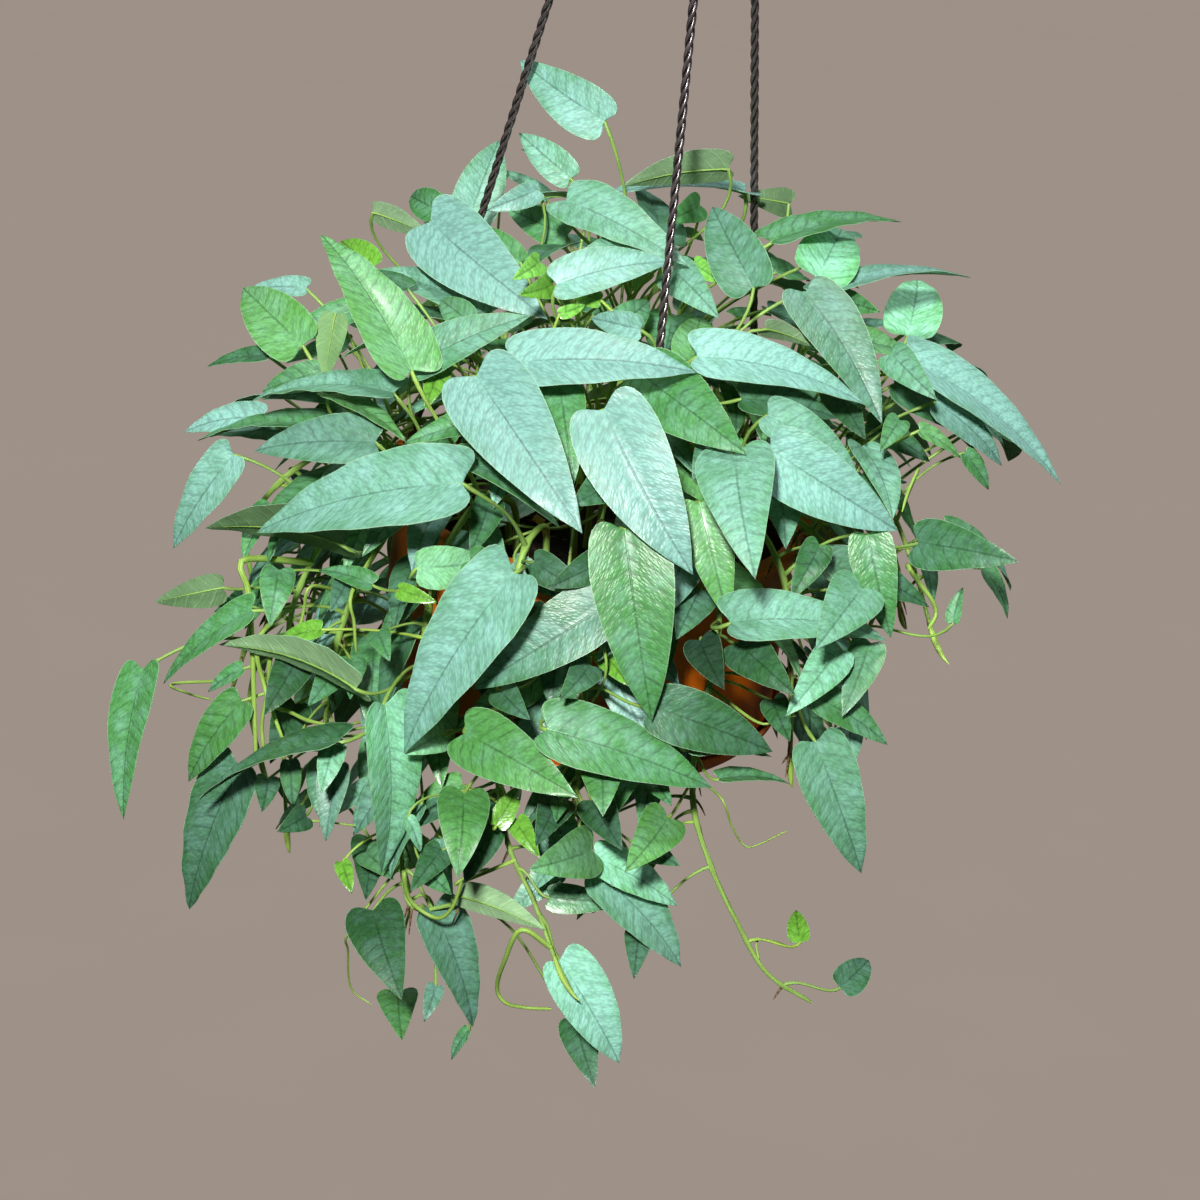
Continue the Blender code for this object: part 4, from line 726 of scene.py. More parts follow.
# Where a trailing vine goes on past its hanging part, as the photograph shows it: x, y and nearness
TRAIL_ENDS = {
    "trail_front": (
        (500, 800, 0.084), (510, 850, 0.080), (528, 885, 0.078), (548, 945, 0.076), (556, 962, 0.076),
    ),
    "trail_front_left": (
        (404, 800, 0.062), (402, 877, 0.058), (412, 906, 0.060), (442, 921, 0.064), (462, 903, 0.066),
    ),
    "runner_right": (
        (697, 735, 0.080), (692, 791, 0.076), (703, 848, 0.072), (723, 889, 0.068), (745, 939, 0.062),
        (776, 985, 0.056), (800, 1002, 0.052), (812, 1003, 0.050),
    ),
    "trail_right": (
        (886, 512, 0.030), (906, 540, 0.030), (912, 565, 0.032), (930, 588, 0.034), (937, 604, 0.034),
        (930, 626, 0.032),
    ),
}
# Upright stems: how many, and for each in turn its radius at the soil, its reach and the height of its end
UPRIGHTS = 9
UPRIGHT_FIRST_AZIMUTH = 20.0
UPRIGHT_SHAPES = ((0.050, 0.112, 0.052), (0.036, 0.070, 0.088), (0.056, 0.104, 0.066))
CENTRE_STEMS = {
    "upright_centre": (80.0, 0.012, 0.026, 0.105),
    "upright_front": (-98.0, 0.024, 0.046, 0.080),
}


def stem_route(azimuth, soil_radius, knots, end=()):
    """A stem's points: straight up out of its hole, then on through its knots."""
    foot = around(soil_radius, azimuth, -SOIL_BELOW_RIM - ROOT_DEPTH)
    top = around(soil_radius, azimuth, -SOIL_BELOW_RIM + 0.006)
    route = [top] + [around(*knot) for knot in knots] + [seen_at(*place) for place in end]
    length = sum((q - p).length for p, q in zip(route, route[1:]))
    return [foot] + smooth_path(route, max(FEWEST_NODES, round(length / NODE_SPACING)))


def all_stems():
    """Every vine's stem, by name."""
    stems = {}
    for name, (azimuth, soil_radius, over, hang, low, drift) in TRAILS.items():
        knots = [
            (soil_radius + 0.006, azimuth, over * 0.45),
            (0.5 * (RIM_RADIUS + soil_radius) + 0.004, azimuth, over),
            (RIM_RADIUS + 0.016, azimuth, over * 0.55),
            (hang, azimuth + 0.3 * drift, SHOULDER),
        ]
        if low < -HANG_STEP:
            steps = max(1, round((SHOULDER - low) / HANG_STEP))
            for k in range(1, steps + 1):
                t = k / steps
                sway = SWAY * math.sin(2.1 * k + azimuth)
                height = SHOULDER + (low - SHOULDER) * t
                knots.append((hang + sway, azimuth + drift * (0.3 + 0.7 * t), height))
        stems[name] = stem_route(azimuth, soil_radius, knots, TRAIL_ENDS.get(name, ()))
    for k in range(UPRIGHTS):
        azimuth = UPRIGHT_FIRST_AZIMUTH + k * 360.0 / UPRIGHTS
        soil_radius, reach, height = UPRIGHT_SHAPES[k % len(UPRIGHT_SHAPES)]
        knots = [
            (soil_radius + 0.2 * (reach - soil_radius), azimuth, 0.3 * height),
            (soil_radius + 0.55 * (reach - soil_radius), azimuth + 3.0, 0.72 * height),
            (reach, azimuth + 5.0, height),
        ]
        stems["upright_" + str(k + 1)] = stem_route(azimuth, soil_radius, knots)
    for name, (azimuth, soil_radius, reach, height) in CENTRE_STEMS.items():
        halfway = (soil_radius + 0.4 * (reach - soil_radius), azimuth, 0.5 * height)
        knots = [halfway, (reach, azimuth + 8.0, height)]
        stems[name] = stem_route(azimuth, soil_radius, knots)
    return stems


def stem_radius(k, count):
    """A stem's radius at its k-th point: it thins toward its end."""
    return STEM_RADIUS * (1.0 - STEM_TAPER * k / (count - 1))


# Leaves. Blades of the blue-leaved pothos, heart-footed and pointed, silvery blue-green with fine veins, each
# on a stalk that springs from its stem. Young ones are yellow-green and glossy, and undersides are dull.
STALK_RADIUS = 0.0011
BLADE_THICKNESS = 0.0008
GUARD = 0.0007  # how much fatter a leaf is taken when its room is tested
STEM_GUARD = 0.0004
GUARD_SIDES = 36
ROOTS_A_PIECE = 5
NEAREST_ROOT = 0.008
FARTHEST_ROOT = 0.135
STALK_RUN = 0.03  # how far back from its blade a stalk likes to spring
CROWDING = 0.0012  # how much farther a stem seems for each leaf that it has
STALK_BOWS = (0.8, 0.2, -0.5, 1.6)
SLIMMEST = 0.42  # a blade's width over its length
USUAL_SHARE = 0.47
LEAVES_IN_ALL = 188
FRONT_TRIES = 130
APRON_TRIES = 110
ROUND_TRIES = 900
COVER_LEAVES = 150
SMALL_LEAVES = 230

# The outer face of the foliage: its radius at each height, seen from above a little wider than deep
FOLIAGE_HEIGHTS = (-0.32, -0.24, -0.17, -0.10, -0.04, 0.0, 0.05, 0.09, 0.13, 0.155, 0.165)
FOLIAGE_RADII = (0.145, 0.170, 0.205, 0.213, 0.215, 0.210, 0.190, 0.160, 0.110, 0.060, 0.020)
FOLIAGE_DEPTH = 1.12
NEAREST_SIGHT = 0.26
SIGHT_STEP = 0.005
SIGHT_STEPS = 90


def foliage_radius(height):
    """The foliage's outer radius at a height above the rim."""
    return float(np.interp(height, FOLIAGE_HEIGHTS, FOLIAGE_RADII))


def foliage_nearness(px, py):
    """How near the foliage's outer face is at a pixel, or where the line of sight passes closest to it."""
    closest = None
    for step in range(SIGHT_STEPS):
        near = NEAREST_SIGHT - step * SIGHT_STEP
        point = seen_at(px, py, near)
        spare = math.hypot(point.x, FOLIAGE_DEPTH * point.y) - foliage_radius(point.z - RIM_Z)
        if spare <= 0.0:
            return near
        if closest is None or spare < closest[0]:
            closest = (spare, near)
    return closest[1]


# Leaves that the photograph shows, those in front first: x and y of the blade's foot, x and y of its tip, its
# width, how much nearer than the foliage's face it starts, in millimetres, and UNDER for an underside
UNDER = -1
LEAVES_SEEN = {
    "brow": (515, 362, 698, 372, 60, 6),
    "heart_left": (476, 376, 582, 533, 95, 4),
    "heart_right": (603, 410, 693, 575, 92, 6),
    "wing_right": (698, 356, 866, 404, 52, 4),
    "bib": (625, 530, 652, 721, 88, 0),
    "sleeve_left": (514, 573, 403, 754, 85, 4),
    "wing_left": (462, 483, 257, 533, 78, 4),
    "lap": (547, 729, 712, 788, 68, 0),
    "shawl": (731, 622, 888, 640, 52, 0),
    "pendant": (560, 960, 620, 1064, 58, -20),
    "flag_left": (412, 370, 321, 233, 68, 0),
    "cuff_left": (414, 366, 532, 315, 45, 2),
    "brow_left": (430, 222, 547, 319, 80, 0),
    "brow_back": (566, 200, 689, 266, 55, -2),
    "brow_mid": (557, 284, 672, 262, 45, 2),
    "shoulder_right": (805, 292, 882, 424, 62, 4),
    "ear_right": (753, 287, 712, 206, 60, 2),
    "bowl_right": (735, 454, 755, 578, 85, 0),
    "sweep_right": (770, 450, 898, 531, 75, -2),
    "behind_brow": (640, 375, 746, 454, 75, -6),
    "sweep_upper": (768, 415, 860, 478, 45, -8),
    "apron": (607, 605, 472, 690, 68, -4),
    "hip_right": (816, 742, 862, 874, 66, -6),
    "skirt_mid": (465, 733, 578, 798, 68, -6),
    "skirt_left": (385, 705, 382, 875, 55, -4),
    "skirt_right": (655, 708, 773, 752, 62, -6),
    "gloss_left": (418, 568, 487, 562, 45, -8),
    "behind_sleeve": (537, 674, 457, 729, 45, -8),
    "side_pale": (838, 650, 786, 716, 45, -6),
    "side_lower": (870, 643, 842, 717, 40, -8),
    "side_corner": (812, 695, 888, 745, 35, -8),
    "side_back": (868, 535, 891, 638, 50, -8),
    "side_dark": (738, 643, 795, 695, 50, -14),
    "side_fold": (862, 588, 815, 650, 60, -12),
    "collar_dark": (700, 503, 728, 620, 55, -12),
    "collar_mid": (560, 385, 574, 485, 50, -12),
    "collar_left": (456, 455, 560, 528, 30, -14),
    "hem_long": (597, 872, 681, 967, 55, -22),
    "hem_pale": (596, 857, 678, 906, 40, -20),
    "hem_left": (592, 850, 528, 870, 55, -20),
    "hem_gloss": (668, 818, 625, 872, 50, -16),
    "hem_small": (464, 793, 458, 878, 54, -10),
    "hem_back": (600, 755, 603, 817, 45, -20),
    "hem_back_right": (637, 772, 610, 830, 18, -20),
    "tail_dark": (575, 1020, 595, 1088, 40, -34),
    "tail_left": (433, 908, 473, 1027, 54, -26),
    "tail_far_left": (373, 910, 402, 1000, 62, -26),
    "tail_young": (398, 993, 402, 1040, 44, -34),
    "tail_pale": (460, 895, 545, 930, 30, -20, UNDER),
    "tail_thin": (550, 898, 620, 905, 32, -26),
    "tail_shade": (640, 930, 634, 979, 32, -30),
    "tail_nub": (468, 1030, 451, 1060, 12, -34),
    "foot_left": (423, 865, 452, 895, 28, -24),
    "foot_gloss": (440, 735, 405, 755, 34, -10),
    "foot_small": (497, 825, 522, 783, 25, -12),
    "foot_right": (516, 821, 540, 858, 25, -14),
    "crest": (604, 121, 520, 60, 56, -4),
    "crest_low": (570, 178, 519, 133, 35, 0),
    "crest_left": (468, 222, 499, 140, 50, -2),
    "crest_nub": (437, 210, 411, 196, 36, -4),
    "crest_olive": (374, 212, 427, 234, 24, 0, UNDER),
    "crest_dark": (728, 168, 622, 186, 34, -4, UNDER),
    "crest_band": (745, 192, 604, 196, 20, 0),
    "crest_right": (790, 204, 738, 196, 32, 0, UNDER),
    "plume_right": (772, 241, 902, 222, 20, -6),
    "heart_light": (818, 277, 842, 229, 68, 8),
    "spear_right": (823, 293, 971, 277, 14, -6),
    "heart_far": (908, 335, 917, 279, 60, 6),
    "edge_right": (891, 354, 937, 400, 38, -4),
    "spear_long": (913, 361, 1061, 486, 38, 0),
    "spear_short": (937, 402, 1003, 466, 35, -4),
    "spear_bright": (920, 430, 961, 458, 16, -4),
    "spear_low": (965, 453, 989, 490, 18, -6),
    "arm_right": (918, 543, 1019, 562, 56, 0),
    "arm_tip": (984, 568, 1008, 619, 16, 0),
    "arm_nub": (953, 622, 963, 587, 16, 0),
    "mound_right": (672, 270, 719, 318, 45, -8),
    "mound_dark": (640, 330, 590, 318, 30, -12),
    "mound_yellow": (553, 285, 518, 295, 28, -12),
    "mound_strand": (690, 360, 700, 318, 50, -14),
    "mound_olive": (765, 328, 815, 347, 22, -10, UNDER),
    "mound_folded": (335, 315, 325, 380, 32, -4, UNDER),
    "mound_left": (302, 345, 243, 288, 62, -2),
    "mound_left_back": (306, 288, 245, 291, 22, -6),
    "left_dark": (268, 355, 207, 367, 16, -2),
    "left_narrow": (393, 392, 250, 400, 24, -6),
    "left_bright": (330, 394, 406, 442, 22, -2),
    "left_yellow": (441, 365, 425, 410, 26, -12),
    "left_broad": (375, 442, 254, 451, 52, -4),
    "left_edge": (324, 426, 197, 441, 16, -4),
    "left_blue": (262, 417, 184, 432, 30, -2),
    "left_curved": (233, 455, 173, 549, 44, 0),
    "left_under": (345, 545, 205, 528, 40, -10, UNDER),
    "left_olive": (222, 588, 155, 602, 36, 0, UNDER),
    "left_fin": (251, 610, 163, 684, 28, 0),
    "left_outer": (143, 669, 124, 820, 44, 0),
    "left_young": (241, 701, 188, 782, 42, -2),
    "left_flag": (238, 765, 188, 910, 62, -2),
    "left_spear": (338, 741, 194, 803, 16, 2),
    "left_small": (338, 735, 302, 750, 30, -6),
    "left_pale": (357, 688, 219, 644, 34, 0, UNDER),
    "left_inner": (399, 590, 438, 603, 20, -10),
    "soil_leaf": (515, 562, 560, 598, 25, -20),
    "runner_young": (800, 941, 796, 910, 24, -4),
    "runner_end": (841, 987, 869, 960, 36, 119),
    "runner_edge": (720, 778, 790, 784, 14, -30),
}
# The plant's outline in the photograph without the leaves that stand off it, the places where the pot and the
# soil show between the leaves, and those where one sees right through
OUTLINE = (
    (519, 133), (573, 140), (572, 182), (612, 188), (660, 170), (735, 153), (740, 187), (797, 190),
    (790, 212), (862, 236), (858, 272), (905, 280), (941, 290), (940, 340), (985, 375), (1035, 460),
    (985, 488), (955, 462), (905, 512), (960, 515), (1018, 562), (1008, 618), (988, 578), (945, 572),
    (965, 590), (950, 625), (905, 605), (893, 640), (866, 652), (864, 712), (888, 745), (858, 752),
    (862, 872), (822, 830), (785, 755), (700, 785), (664, 800), (668, 860), (681, 905), (672, 925),
    (681, 967), (634, 980), (622, 925), (540, 928), (480, 905), (430, 908), (345, 895), (352, 862),
    (300, 834), (272, 838), (250, 765), (246, 706), (240, 665), (222, 642), (238, 600), (215, 578),
    (245, 565), (207, 528), (258, 506), (262, 455), (195, 441), (183, 428), (225, 403), (262, 398),
    (275, 375), (208, 364), (268, 350), (242, 300), (305, 278), (313, 312), (342, 318), (322, 234),
    (375, 238), (405, 230), (372, 210), (412, 182), (455, 178), (498, 142), (510, 178),
)
POT_SHOWS = ((684, 612, 706, 700), (700, 672, 785, 770), (738, 560, 800, 600), (540, 508, 612, 570))
SEEN_THROUGH = (
    (258, 700, 296, 758), (340, 738, 360, 770), (476, 762, 496, 796), (484, 835, 512, 888),
    (775, 236, 802, 262), (720, 292, 736, 308), (806, 530, 828, 548), (776, 744, 800, 768),
)

# Blade outline: where the midrib's and the edges' points lie along the blade, and its width there
LONG_BLADE = ((0.03, -0.05, 0.56), (0.24, 0.22, 1.0), (0.54, 0.54, 0.84), (0.82, 0.82, 0.40))
SHORT_BLADE = ((0.04, -0.05, 0.58), (0.30, 0.28, 1.0), (0.70, 0.70, 0.64))
TINY_BLADE = ((0.05, -0.05, 0.62), (0.42, 0.40, 0.98))
LONG_FROM = 0.084
SHORT_FROM = 0.047
LONG_STALK = 0.050
ARCH = 0.07
CUP = 0.16


def outline_of(leaf):
    """The longer a blade is, the more points its outline has."""
    length = (leaf["tip"] - leaf["base"]).length
    if length > LONG_FROM:
        return LONG_BLADE
    return SHORT_BLADE if length > SHORT_FROM else TINY_BLADE


def blade_points(leaf, outline, thickness):
    """A blade's rows, each with its left, middle and right point on the upper face and then on the lower."""
    base, tip, normal, side, width = leaf["base"], leaf["tip"], leaf["normal"], leaf["side"], leaf["width"]
    run = tip - base
    length = run.length
    half_thickness = normal * (thickness / 2)
    rows = []
    for middle, edge, share in outline:
        half = share * width / 2
        ridge = base + run * middle + normal * (ARCH * length * 4 * middle * (1 - middle))
        lift = normal * (ARCH * length * 4 * max(edge, 0.0) * (1 - edge) + CUP * half)
        left = base + run * edge + lift - side * half
        right = base + run * edge + lift + side * half
        upper = [left + half_thickness, ridge + half_thickness, right + half_thickness]
        rows.append(upper + [p - 2 * half_thickness for p in upper])
    return rows, [tip + half_thickness, tip - half_thickness]


def stalk_curve(leaf, end):
    """The four points that a stalk's curve is drawn from, and the way it arrives at its end."""
    root, base, bow = leaf["root"], leaf["base"], leaf["bow"]
    along = (leaf["tip"] - base).normalized()
    chord = base - root
    reach = 0.36 * chord.length
    leave = (chord.normalized() * 0.7 + Vector((0.0, 0.0, 0.5 * bow))).normalized()
    arrive = (along * 0.5 + chord.normalized() * 0.5 + Vector((0.0, 0.0, 0.35 * bow))).normalized()
    return (root, root + leave * reach, end - arrive * reach, end), arrive


def on_curve(a, b, c, d, t):
    """The point at a share t of the way along the curve that four points draw."""
    s = 1.0 - t
    return a * s ** 3 + b * (3 * s * s * t) + c * (3 * s * t * t) + d * t ** 3


def stalk_rings(leaf, radius):
    """A leaf stalk's three-sided rings, from inside the stem to the blade's foot."""
    base, normal, side = leaf["base"], leaf["normal"], leaf["side"]
    curve, arrive = stalk_curve(leaf, base)
    a, b, c, d = curve
    turned = (arrive + (leaf["tip"] - base).normalized()).normalized()
    rise = (normal - turned * normal.dot(turned)).normalized()
    rings = []
    for t in (1.0, 0.70, 0.36, 0.0) if (base - a).length > LONG_STALK else (1.0, 0.55, 0.0):
        s = 1.0 - t
        point = on_curve(*curve, t)
        if t < 1.0:
            ahead = ((b - a) * (s * s) + (c - b) * (2 * s * t) + (d - c) * (t * t)).normalized()
            rise = (rise - ahead * rise.dot(ahead)).normalized()
            across = ahead.cross(rise)
        else:
            across = side
        rings.insert(0, [
            point - across * (0.87 * radius) + rise * (0.5 * radius),
            point + across * (0.87 * radius) + rise * (0.5 * radius),
            point - rise * radius,
        ])
    return rings


def reach_of(points):
    """The corners of the box that holds some points."""
    return [min(p[i] for p in points) for i in range(3)], [max(p[i] for p in points) for i in range(3)]


class Thicket:
    """What already grows or stands there, and whether a new leaf has room among it."""

    def __init__(self):
        self.things = []
        self.taken = set()

    def add(self, owner, kind, points, faces):
        self.things.append((owner, kind, *reach_of(points), BVHTree.FromPolygons(points, faces)))

    def room_for(self, owner, kind, points, faces):
        low, high = reach_of(points)
        tree = None
        for other, what, other_low, other_high, other_tree in self.things:
            if other == owner and kind == "stalk" and what == "stem":
                continue
            if any(low[i] > other_high[i] or high[i] < other_low[i] for i in range(3)):
                continue
            if tree is None:
                tree = BVHTree.FromPolygons(points, faces)
            if tree.overlap(other_tree):
                return False
        return True


def guard_blade(leaf):
    """The blade, a little fatter."""
    rows, ends = blade_points(leaf, outline_of(leaf), BLADE_THICKNESS + 2 * GUARD)
    points = [p for row in rows for p in row] + ends
    faces = [(0, 1, 4, 3), (1, 2, 5, 4)]
    for k in range(len(rows) - 1):
        for i, j in ((0, 1), (1, 2), (2, 5), (5, 4), (4, 3), (3, 0)):
            faces.append((6 * k + i, 6 * k + j, 6 * k + j + 6, 6 * k + i + 6))
    o = 6 * (len(rows) - 1)
    high, low = len(points) - 2, len(points) - 1
    faces += [(o, o + 1, high), (o + 1, o + 2, high), (o + 4, o + 3, low), (o + 5, o + 4, low)]
    faces += [(o + 2, o + 5, low, high), (o + 3, o, high, low)]
    return points, faces


def guard_stalk(leaf):
    """The stalk, a little fatter."""
    rings = stalk_rings(leaf, STALK_RADIUS + GUARD)
    return [p for ring in rings for p in ring], wall_faces(len(rings), 3)


def guard_tube(route, radii):
    """A four-sided tube round a route."""
    points = []
    for k, point in enumerate(route):
        ahead = (route[min(k + 1, len(route) - 1)] - route[max(k - 1, 0)]).normalized()
        across = ahead.cross(OFF_LINE).normalized()
        other = ahead.cross(across)
        points += [point + across * radii[k], point + other * radii[k]]
        points += [point - across * radii[k], point - other * radii[k]]
    return points, wall_faces(len(route), 4)


def guard_turned(profile):
    """A turned surface round the pot's axis from radii and heights."""
    points, faces = [], []
    count = len(profile)
    for k in range(GUARD_SIDES):
        angle = math.tau * k / GUARD_SIDES
        points += [Vector((r * math.cos(angle), r * math.sin(angle), z)) for r, z in profile]
        for i in range(count - 1):
            a, b = count * k + i, count * ((k + 1) % GUARD_SIDES) + i
            faces.append((a, b, b + 1, a + 1))
    return points, faces


def inward(point):
    """Level, toward the pot's axis."""
    flat = Vector((-point.x, -point.y, 0.0))
    return flat.normalized() if flat.length > 1e-6 else Vector((0.0, 0.0, 0.0))


def seen_blade(entry, push):
    """A blade that shows as the photograph has it, pushed away from the viewer by a distance."""
    base_x, base_y, tip_x, tip_y, shown_width, nearer, *under = entry
    face = under[0] if under else 1
    start = foliage_nearness(base_x, base_y) + nearer / 1000 - push
    end = foliage_nearness(tip_x, tip_y) + nearer / 1000 - push
    metre = FOCAL_PX / (VIEW_DISTANCE - start)
    shown_length = math.hypot(tip_x - base_x, tip_y - base_y) / metre
    shown_width = shown_width / metre
    steepest = 0.5 * shown_length
    if shown_width > steepest:
        dive = math.sqrt((shown_width / USUAL_SHARE) ** 2 - shown_length ** 2)
        end = start + (dive if tip_y > base_y else -dive)
    else:
        end = start + min(max(end - start, -steepest), steepest)
    base = seen_at(base_x, base_y, start)
    tip = seen_at(tip_x, tip_y, end)
    width = max(shown_width, SLIMMEST * (tip - base).length)
    along = (tip - base).normalized()
    toward = (EYE - base).normalized()
    flat = (toward - along * toward.dot(along)).normalized() * face
    turn = math.acos(min(shown_width / width, 1.0))
    across = along.cross(flat)
    choices = [flat * math.cos(turn) + across * (sign * math.sin(turn)) for sign in (1, -1)]
    normal = max(choices, key=lambda n: n.z)
    return {"base": base, "tip": tip, "width": width, "normal": normal, "side": along.cross(normal)}


def roots_for(leaf, stems, count, taken, shift):
    """The points of the stems that a leaf's stalk could come from, the likeliest first."""
    crowds = Counter(place[0] for place in taken)
    base = leaf["base"]
    height = base.z - RIM_Z
    drop = float(np.interp(height, (-0.12, 0.0, 0.12), (-0.005, 0.02, 0.055)))
    want = base + inward(base) * STALK_RUN - Vector((0.0, 0.0, drop))
    along = (leaf["tip"] - base).normalized()
    want = want - along * 0.008
    found = []
    for name, route in stems.items():
        for k in range(2, len(route)):
            steps = ROOTS_A_PIECE if k < len(route) - 1 else 1
            for j in range(steps):
                spot = route[k].lerp(route[min(k + 1, len(route) - 1)], (j + shift) / ROOTS_A_PIECE)
                place = (name, k, j + shift)
                if place not in taken and NEAREST_ROOT < (spot - base).length < FARTHEST_ROOT:
                    found.append(((spot - want).length + CROWDING * crowds[name], name, spot, place))
    found.sort(key=lambda item: item[0])
    return found[:count]


def settle(leaf, stems, thicket, tries, shift=0.0):
    """Give a leaf a stalk that reaches a stem clear of everything else, or say that it has no room."""
    blade = guard_blade(leaf)
    if not thicket.room_for("", "blade", *blade):
        return False
    for _, name, spot, place in roots_for(leaf, stems, tries, thicket.taken, shift):
        leaf["root"] = spot
        for bow in STALK_BOWS:
            leaf["bow"] = bow
            stalk = guard_stalk(leaf)
            if thicket.room_for(name, "stalk", *stalk):
                leaf["vine"] = name
                thicket.taken.add(place)
                thicket.add(name, "blade", *blade)
                thicket.add(name, "stalk", *stalk)
                return True
    return False


# How far a leaf is moved back along the line of sight, until it has room, and how many roots its stalk tries
PUSHES = (
    0.0, 0.004, 0.008, 0.012, 0.016, 0.021, -0.005, 0.027, 0.034, -0.010, 0.042, 0.052, 0.064, -0.018,
)
SEEN_ROOTS = 14
OTHER_ROOTS = 12
FILLER_ATTEMPTS = 3


def place_seen(stems, thicket, entries, shift=0.0):
    """The leaves that the photograph shows, each moved along the line of sight until it has room."""
    leaves = []
    for name, entry in entries.items():
        for push in PUSHES:
            leaf = seen_blade(entry, push)
            if settle(leaf, stems, thicket, SEEN_ROOTS, shift):
                leaf["name"] = name
                leaves.append(leaf)
                break
    return leaves


def inside(point, outline):
    """Whether a pixel lies in a closed outline."""
    x, y = point
    odd = False
    for (ax, ay), (bx, by) in zip(outline, outline[1:] + outline[:1]):
        if (ay > y) != (by > y) and x < ax + (y - ay) * (bx - ax) / (by - ay):
            odd = not odd
    return odd


def blade_samples(leaf):
    """Points spread over a blade."""
    base, run, half = leaf["base"], leaf["tip"] - leaf["base"], leaf["side"] * (leaf["width"] / 2)
    points = [base, base + run * 0.5, leaf["tip"], base + run * 0.8]
    for share in (0.1, 0.35, 0.6):
        points += [base + run * share + half * 0.9, base + run * share - half * 0.9]
    return points


def evenly(k, start=(0.0, 0.0)):
    """The k-th of places that cover a square of one by one evenly, however many there are."""
    return (k * 0.7548777 + start[0]) % 1.0, (k * 0.5698403 + start[1]) % 1.0


def behind_shown(tries, nearest, deepest, draw, start=(0.0, 0.0)):
    """Places behind the leaves that show."""
    xs = [x for x, y in OUTLINE]
    ys = [y for x, y in OUTLINE]
    for k in range(tries):
        u, v = evenly(k, start)
        px = min(xs) + (max(xs) - min(xs)) * u
        py = min(ys) + (max(ys) - min(ys)) * v
        behind = draw.uniform(nearest, deepest)
        if inside((px, py), OUTLINE):
            yield seen_at(px, py, foliage_nearness(px, py) - behind)


def filler_spots(draw):
    """Where blades may fill in: behind the leaves that show, then all round the foliage and inside it."""
    yield from behind_shown(FRONT_TRIES, 0.010, 0.065, draw)
    for k in range(APRON_TRIES):
        u, v = evenly(k)
        angle = math.radians(-158.0 + 110.0 * u)
        radius = RIM_RADIUS + draw.uniform(0.014, 0.034)
        height = -0.105 + 0.120 * v
        yield Vector((radius * math.cos(angle), radius * math.sin(angle), RIM_Z + height))
    for k in range(ROUND_TRIES):
        u, v = evenly(k)
        height = -0.225 + 0.385 * u
        angle = math.tau * v + draw.uniform(-0.2, 0.2)
        radius = foliage_radius(height) * draw.choice((1.0, 0.92, 0.8, 0.66))
        yield Vector((radius * math.cos(angle), radius * math.sin(angle) / FOLIAGE_DEPTH, RIM_Z + height))


FALL_HEIGHTS = (-0.2, 0.0, 0.14)
HANGING_BELOW = -0.08
FILLER_LENGTHS = (0.044, 0.090)
HANGING_LENGTHS = (0.038, 0.076)


def filler_blade(centre, draw, scale):
    """A blade about a point, pointing outward and falling more the lower it is."""
    height = centre.z - RIM_Z
    out = -inward(centre)
    swing = Vector((-out.y, out.x, 0.0)) * draw.uniform(-0.9, 0.9)
    flat = float(np.interp(height, FALL_HEIGHTS, (0.30, 0.65, 1.0)))
    fall = float(np.interp(height, FALL_HEIGHTS, (0.95, 0.60, 0.10)))
    along = (out * flat + swing - Vector((0.0, 0.0, fall + draw.uniform(-0.35, 0.25)))).normalized()
    length = scale * draw.uniform(*(FILLER_LENGTHS if height > HANGING_BELOW else HANGING_LENGTHS))
    lean = Vector((draw.uniform(-0.45, 0.45), draw.uniform(-0.45, 0.45), 0.9))
    face_up = out * 0.6 + lean
    normal = (face_up - along * face_up.dot(along)).normalized()
    base = centre - along * (0.45 * length)
    return {
        "base": base,
        "tip": base + along * length,
        "width": length * draw.uniform(0.42, 0.52),
        "normal": normal,
        "side": along.cross(normal),
    }


def in_box(point):
    """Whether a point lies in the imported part's box."""
    return all(low <= x <= high for low, x, high in zip(CAD_BOX[0], point, CAD_BOX[1]))


def screen_of(leaves):
    """All of these blades in one, to see what they hide."""
    points, faces = [], []
    for leaf in leaves:
        blade_vertices, blade_faces = guard_blade(leaf)
        faces += shifted(blade_faces, len(points))
        points += blade_vertices
    return BVHTree.FromPolygons(points, faces)


def place_others(stems, thicket, seen, count, draw, spots, scale=1.0, shift=0.0, kind="fill_", back=1.0):
    """The leaves that fill the plant out all round, where they hide nothing that the photograph shows."""
    screen = screen_of(seen)
    leaves = []
    for centre in spots(draw):
        if len(leaves) == count:
            break
        for _ in range(FILLER_ATTEMPTS):
            leaf = filler_blade(centre, draw, scale)
            samples = blade_samples(leaf)
            pixels = [pixel_of(p) for p in samples]
            if not all(inside(pixel, OUTLINE) for pixel in pixels):
                continue
            windows = SEEN_THROUGH + POT_SHOWS if centre.y < back else SEEN_THROUGH
            if any(x0 < x < x1 and y0 < y < y1 for x, y in pixels for x0, y0, x1, y1 in windows):
                continue
            if kind != "fill_" and not all(in_box(p) for p in samples):
                continue
            if any(screen.ray_cast(p, (p - EYE).normalized())[0] for p in samples):
                continue
            if settle(leaf, stems, thicket, OTHER_ROOTS, shift):
                leaf["name"] = kind + str(len(leaves))
                leaves.append(leaf)
                break
    return leaves


